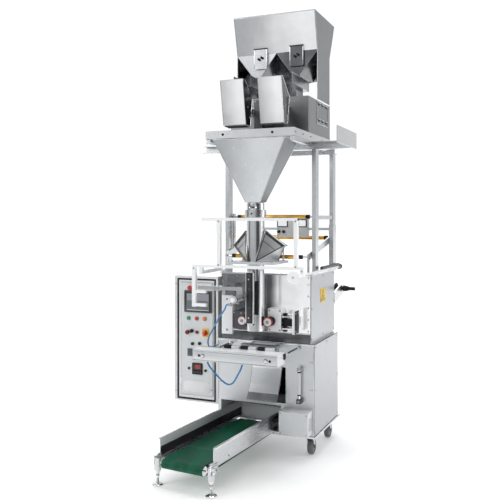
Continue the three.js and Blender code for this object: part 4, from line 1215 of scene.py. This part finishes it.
def operator_screen():
    """Dark bezel with round corners, a black border, a screen that glows with painted light and is darker in its
    lower half as a painted reflection, and a pale strip.
    """
    piece = Piece().use(screen_grey)
    piece.prism(rounded(-566.5, -367.5, 856.5, 999.5, 7), "y", DOOR - 8.0, DOOR - 0.2, 0.9)
    piece.use(gloss_black).prism(rounded(-556, -378, 868, 988, 3), "y", DOOR - 8.9, DOOR - 7.8, 0.3)
    piece.use(screen_painted_glow).prism(rounded(-548, -386, 880, 980, 1.5), "y", DOOR - 9.3, DOOR - 8.6)
    piece.use(screen_painted_dark).prism(rounded(-546, -388, 882, 934, 1.5), "y", DOOR - 9.6, DOOR - 9.2)
    piece.use(pale_plate).block(-548, -386, DOOR - 9.2, DOOR - 8.4, 870, 876, 0.3)
    piece.use(machined).lathe((-374, DOOR - 8, 863), FRONT, [(2, 0), (2, 0.4), (0, 0.4)], 12)
    piece.done("operator_screen", "control_door", "black_plastic")


def seven_segment(piece, x, z, lit):
    """A generic seven segment figure, 12 mm wide."""
    w, h, t = 12, 22, 2.4
    middle = z + h / 2
    bars = {"top": (x, x + w, z + h - t, z + h), "mid": (x, x + w, middle - t / 2, middle + t / 2),
            "low": (x, x + w, z, z + t), "ul": (x, x + t, middle, z + h), "ll": (x, x + t, z, middle),
            "ur": (x + w - t, x + w, middle, z + h), "lr": (x + w - t, x + w, z, middle)}
    for bar in lit:
        x0, x1, z0, z1 = bars[bar]
        piece.block(x0, x1, DOOR - 8.0, DOOR - 7.2, z0, z1, 0.2)


def temperature_controller():
    """A black housing with three glowing red figures over four keys."""
    piece = Piece().use(black).prism(rounded(-509, -435, 451, 525, 4), "y", DOOR - 7.2, DOOR - 0.2, 0.8)
    piece.use(gloss_black).prism(rounded(-502, -442, 482, 520, 2), "y", DOOR - 7.6, DOOR - 7.0)
    piece.use(digits_red)
    full = ("top", "mid", "low", "ul", "ur", "ll", "lr")
    for column, lit in enumerate((("ur", "lr"), full, ("top", "ul", "ur", "ll", "lr", "low"))):
        seven_segment(piece, -496 + column * 17, 490, lit)
    piece.use(dark)
    for column in range(4):
        piece.lathe((-496 + column * 16, DOOR - 7.0, 465), FRONT, [
            (4.5, 0), (4.5, 0.8), (3.6, 1.5), (0, 1.5)], 20)
    piece.done("temperature_controller", "control_door", "black_plastic")


def knob(piece, x, z, radius, proud, finish=None, angle=35):
    """A selector: a chromed bezel, a turned skirt and a raised pointer bar."""
    shoulder = proud * 0.65
    piece.use(machined).lathe((x, DOOR, z), FRONT, [
        (radius + 3.4, -0.2), (radius + 3.4, 1.6), (radius + 2, 2.6), (radius, 2.8)], 32)
    piece.use(finish or black).lathe((x, DOOR, z), FRONT, [
        (radius + 0.3, 2.6), (radius + 0.3, proud * 0.55), (radius - 1, shoulder), (0, shoulder)], 32)
    piece.block(x - 3, x + 3, DOOR - proud - 0.6, DOOR - proud * 0.6, z - radius + 0.5, z + radius - 0.5, 1.0,
                (angle, "y"))


def door_fittings():
    """Selectors, lamps, knobs, the bezels of the push buttons, and the plates of the switches."""
    piece = Piece()
    knob(piece, -542, 724, 14, 16, red, -25)
    knob(piece, -511, 734, 12, 14, black, 20)
    knob(piece, -474, 727, 11, 9, red, 40)
    for x, z in ((-507, 650), (-455, 654)):
        knob(piece, x, z, 10, 12, angle=30)
    for x, z in ((-533, 487), (-412, 480)):
        knob(piece, x, z, 8, 8, angle=0)
    piece.use(machined).lathe((-419, DOOR, 817), FRONT, [(15.4, -0.2), (15.4, 2), (13.5, 3)], 32)
    piece.use(orange).lathe((-419, DOOR, 817), FRONT, [(13.3, 1), (13.3, 8), (11, 9.6), (0, 10)], 32)
    for x, z, tall in ((-521, 1017, 1.8), (-537, 816, 3.6), (-477, 816, 3.6)):
        piece.use(machined).lathe((x, DOOR, z), FRONT, [
            (15, -0.2), (15, tall - 1.2), (13.4, tall), (11.4, tall), (11.4, -2)], 36)
    piece.use(yellow).prism(rounded(-439, -387, 700, 752, 4), "y", DOOR - 2.6, DOOR - 0.2, 0.4)
    piece.use(plate_blue).prism(rounded(-545, -507, 567, 617, 3), "y", DOOR - 3.6, DOOR - 0.2, 0.5)
    piece.use(dark).block(-540, -512, DOOR - 5, DOOR - 3.4, 573, 611, 1.2)
    piece.use(white).prism(rounded(-575, -383, 334, 406, 3), "y", DOOR - 1.6, DOOR - 0.2, 0.3)
    piece.use(machined)
    for x, z in itertools.product((-568, -390), (341, 399)):
        piece.lathe((x, DOOR - 1.6, z), FRONT, [(2.6, 0), (2.2, 0.9), (0, 1.0)], 16)
    piece.done("door_fittings", "control_door", "black_plastic")


def push_head(name, body, x, z, radius, proud, finish, slot):
    """A push button's head over its CAD plunger: domed, with a soft edge; the big one is a mushroom."""
    piece = Piece().use(finish)
    if radius > 12:
        profile = [(10.4, proud + 0.3), (12, proud + 0.8), (radius, proud + 4), (radius + 0.4, proud + 9),
                   (radius - 2, proud + 13), (radius - 7, proud + 14.8), (0, proud + 15.2)]
    else:
        profile = [(radius + 0.1, proud - 4), (radius + 0.1, proud + 2.4), (radius - 1, proud + 3.3),
                   (0, proud + 3.6)]
    piece.lathe((x, DOOR, z), FRONT, profile, 36)
    piece.done(name, body, slot)


def control_box_trim():
    """Black gaskets, white frame edge, screws, wall bracket and cable glands of the control box."""
    piece = Piece().use(black)
    framed(piece, -622.4, -340.6, 281.6, 1077.4, 5.4, 4, -2.6, -0.2)
    framed(piece, -617, -346, 287, 1072, 5, 4, -2.4, -0.2)
    piece.use(white)
    framed(piece, -642.4, -324.6, 269.6, 1093.4, 9, 5, -1.8, 0.6)
    piece.use(machined).screws(-633, -1.0, (330, 1040), FRONT, 3.5, 2)
    piece.use(steel).block(-327, -322, 40, 240, 560, 620, 1.5)
    piece.use(black)
    for x in (-560, -500, -440):
        piece.lathe((x, 150, 270), DOWN, [(16, -0.5), (16, 6), (12, 7), (12, 18), (7, 20), (0, 20)], 8)
    piece.done("control_box_trim", slot="white_paint")


door_panel()
operator_screen()
temperature_controller()
door_fittings()
control_box_trim()
push_head("emergency_mushroom", "emergency_stop", -521, 1017, 14.5, 8.6, red, "red_plastic")
push_head("start_cap", "start_button", -537, 816, 10.5, 6.6, green, "green_plastic")
push_head("stop_cap", "stop_button", -477, 816, 10.5, 6.6, red, "red_plastic")
dress("emergency_stop stop_button main_switch", red, 0.6)
dress("start_button", green, 0.6)


def switch_handle():
    """The main switch's red handle, with a pale line that shows its position."""
    piece = Piece().use(red)
    piece.lathe((-413, DOOR, 726), FRONT, [(17.5, 3), (17.5, 12), (16, 14.4), (0, 14.4)], 40)
    piece.block(-420, -406, DOOR - 25.5, DOOR - 13, 708, 744, 3.0)
    piece.use(white).block(-414.2, -411.8, DOOR - 26.0, DOOR - 25.3, 731, 742, 0.2)
    piece.done("main_switch_handle", "main_switch", "red_plastic")


switch_handle()


# ---- conveyor: drawn in its own frame, X across and Y from its front end towards the machine ----
CONVEYOR = Matrix.Translation((-180, -706, 0)) @ Matrix.Rotation(math.radians(-5.49), 4, "Z")
FRONT_ROLL, REAR_ROLL = (-24, 124.7, 25.5), (838, 129.2, 21)


def belt():
    """The endless belt round its two rollers, with rounded edges and a lacing seam."""
    piece = Piece(CONVEYOR).use(belt_green)
    loops = []
    for grow, half in ((0.3, 131.2), (0.9, 132), (1.4, 132), (2.0, 131.2)):
        loop = []
        for (y, z, radius), start in ((FRONT_ROLL, 90), (REAR_ROLL, -90)):
            out = radius + grow
            for step in range(25):
                angle = math.radians(start + 180 * step / 24)
                loop.append((half, y + math.cos(angle) * out, z + math.sin(angle) * out))
        loops.append(loop)
    piece.skin([piece.ring([(side * x, y, z) for x, y, z in loop])
                for side, order in ((-1, loops), (1, loops[::-1])) for loop in order], True)
    piece.use(dark).block(-130, 130, 210, 216, 151.4, 152.6, 0.3)
    made = piece.done("belt_loop", slot="belt_green")
    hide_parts("conveyor_belt")


def conveyor_trim():
    """Hemmed guards and the strips inside them, bearing blocks, tension screws and the levelling feet."""
    piece = Piece(CONVEYOR).use(bright)
    for s in (-1, 1):
        piece.block(*sorted((s * 172.4, s * 185.4)), -0.6, 936, 247.4, 250.2, 1.2)
        piece.block(*sorted((s * 183.4, s * 185.6)), -0.6, 936, 240, 250.2, 0.9)
        piece.block(*sorted((s * 171.6, s * 175.6)), -1.2, 1.4, 141, 249, 0.8)
    piece.use(black).block(-172.2, -170.4, 4, 928, 158.4, 203, 0.6)
    piece.use(pale_plate).block(-172.2, -170.8, 4, 928, 203, 247, 0.6)
    piece.use(dark).block(170.6, 172.2, 4, 914, 158.4, 176, 0.6)
    for s in (-1, 1):
        outer = s * 175.2
        piece.use(machined).lathe((s * 173, -24, 52), "z", [(7.2, -2), (11.5, -2), (11.5, 6), (7.2, 6)], 6)
        piece.use(steel).block(*sorted((outer, s * 180)), -44, 40, 111, 162, 2)
        piece.use(black).block(*sorted((s * 179, s * 188)), -40, -8, 112, 138, 3)
        piece.use(chrome)
        piece.lathe((s * 188, -24, 124.7), (s, 0, 0), [(12, -2), (12, 2), (9, 4), (9, 7.6), (0, 8)], 6)
        piece.rod((s * 183, -24, 152), "y", 4, -24, 40)
        piece.lathe((s * 183, -44, 152), "y", [(0, -3), (7, -3), (7, 3), (0, 3)], 6)
        piece.rod((s * 183, -47, 152), "z", 3.2, -18, 18)
        piece.use(machined).screws(outer + s * 4.8, 20, (150, 124), (s, 0, 0), 4.5, 3)
        piece.screws(outer, (160, 420, 680, 800), 162, (s, 0, 0), 4.5, 3)
    piece.done("conveyor_trim")
    for side, hand in HANDS:
        foot = Piece(CONVEYOR).use(chrome)
        foot.lathe((side * 173, -24, 0), "z", [
            (31, 0), (32.6, 1.6), (32.6, 4.6), (30, 7.4), (18, 11), (10.6, 15), (9.6, 18), (6.3, 18.6),
            (6.3, 40)], 48).use(machined)
        thread = [(6.2, 18)]
        for turn in range(10):
            thread += [(6.8, 19 + turn * 2), (6.2, 20 + turn * 2)]
        foot.lathe((side * 173, -24, 0), "z", thread, 20)
        foot.done(f"levelling_foot_{hand}", f"conveyor_foot_{hand}", "chrome")


belt()
conveyor_trim()
dress("belt_roller_front belt_roller_rear", chrome, 0.6)


def motor_cover_trim():
    """The motor cover's folded front edges and the louvres on its right face."""
    piece = Piece().use(bright)
    for z in (297, 159.2):
        piece.block(131.4, 315.6, -100.8, -97.5, z, z + 3.8, 1.2)
    for x in (131.4, 312.6):
        piece.block(x, x + 3, -100.8, -97.5, 160, 300, 1.2)
    # the louvres in darker, duller stainless: painted shade in them
    piece.use(dull_shaded)
    for row in range(5):
        piece.block(315.2, 316.2, -80, -24, 190 + row * 16, 196 + row * 16, 0.4)
    piece.done("motor_cover_trim")


motor_cover_trim()

# ---- floor and light ----
SCENE.view_settings.view_transform = "Standard"  # white stays white, and steel keeps its contrast


def compass_of(tree, split):
    """The compass direction of a split vector, from 0 at -180 degrees to 1 at 180."""
    turn = reckoned(tree, "ARCTAN2", split.outputs["Y"], split.outputs["X"])
    return spread(tree, turn, 0.0, 1.0, -math.pi, math.pi)


def stepped(stops, levels):
    """Sets a colour ramp's stops from levels by compass degrees."""
    for number, (degrees, level) in enumerate(levels.items()):
        stop = stops[number] if number < 2 else stops.new((degrees + 180) / 360)
        stop.position, stop.color = (degrees + 180) / 360, (level * 0.985, level, level * 1.01, 1)


def floor():
    """A pale floor, lit evenly far out to meet the white background, a little greyer out in front, and from
    five metres out dark under the room's two dark gaps."""
    mesh = bpy.data.meshes.new("floor")
    grid = bmesh.new()
    bmesh.ops.create_grid(grid, x_segments=2, y_segments=2, size=60)
    grid.to_mesh(mesh)
    grid.free()
    made = bpy.data.objects.new("floor", mesh)
    made.location.z = -0.0005
    pale = (0.94, 0.94, 0.94)
    paint, tree, shader = material("studio_floor", pale, 0.8, Emission_Color=(1, 1, 1, 1))
    place = here(tree)
    split = added(tree, "SeparateXYZ", {"Vector": place})
    ahead = spread(tree, split.outputs["Y"], 0.0, 1.0, -4.0, -1.6)
    tinted(tree, shader, ahead, (0.68, 0.685, 0.69), pale)
    reach = added(tree, "VectorMath", {0: place}, operation="LENGTH").outputs["Value"]
    ring = spread(tree, reach, 0.22, 0.62, 1.2, 4.5)
    behind = spread(tree, split.outputs["Y"], 0.0, 1.0, -2.6, -1.2)
    tree.links.new(reckoned(tree, "MULTIPLY", ring, behind), shader.inputs["Emission Strength"])
    dim = added(tree, "ValToRGB", {"Fac": compass_of(tree, split)})
    stepped(dim.color_ramp.elements, {
        -180: 1, -174: 1, -166: 0.2, -154: 0.2, -144: 1, -68: 1, -56: 0.08, -22: 0.08, -8: 1, 180: 1})
    near = reckoned(tree, "MAXIMUM", spread(tree, reach, 1.0, 0.0, 5.0, 7.5), dim.outputs["Color"])
    base = shader.inputs["Base Color"].links[0].from_socket
    scaled = added(tree, "VectorMath", {0: base, "Scale": near}, operation="SCALE")
    tree.links.new(scaled.outputs["Vector"], shader.inputs["Base Color"])
    mesh.materials.append(paint)
    SCENE.collection.objects.link(made)


def lamp(name, place, aim, wide, tall, watts):
    """A rectangular area light, turned towards its aim."""
    data = bpy.data.lights.new(name, "AREA")
    data.shape = "RECTANGLE"
    data.size, data.size_y, data.energy = wide, tall, watts
    made = bpy.data.objects.new(name, data)
    made.location = place
    made.rotation_euler = (Vector(aim) - Vector(place)).to_track_quat("-Z", "Y").to_euler()
    SCENE.collection.objects.link(made)


def studio():
    """The room's light by compass direction: white behind the machine, greyer elsewhere, with two dark gaps
    between the lit walls that give polished steel its upright dark bands."""
    world = bpy.data.worlds.new("studio")
    SCENE.world = world
    world.use_nodes = True
    tree = world.node_tree
    place = added(tree, "TexCoord").outputs["Generated"]
    split = added(tree, "SeparateXYZ", {"Vector": place})
    ramp = added(tree, "ValToRGB", {"Fac": compass_of(tree, split)})
    stepped(ramp.color_ramp.elements, {
        -180: 0.5, -168: 0.16, -152: 0.16, -140: 0.7, -113: 0.78, -83: 0.7, -66: 0.5, -56: 0.08, -22: 0.08,
        -8: 0.55, 22: 0.72, 50: 0.55, 70: 0.62, 82: 1.04, 145: 1.04, 165: 0.6, 180: 0.5})
    tree.links.new(ramp.outputs["Color"], tree.nodes["Background"].inputs["Color"])


floor()
studio()
MIDDLE = (0, 0, 1.3)
lamp("key", (-3.6, -4.2, 4.4), MIDDLE, 2.4, 3.4, 95)
lamp("fill", (5.0, 1.8, 3.0), MIDDLE, 1.2, 3.2, 45)
lamp("top", (0.2, 0.4, 6.0), MIDDLE, 3.0, 3.0, 110)
lamp("rear", (-1.5, 4.8, 3.2), MIDDLE, 3.0, 3.0, 35)
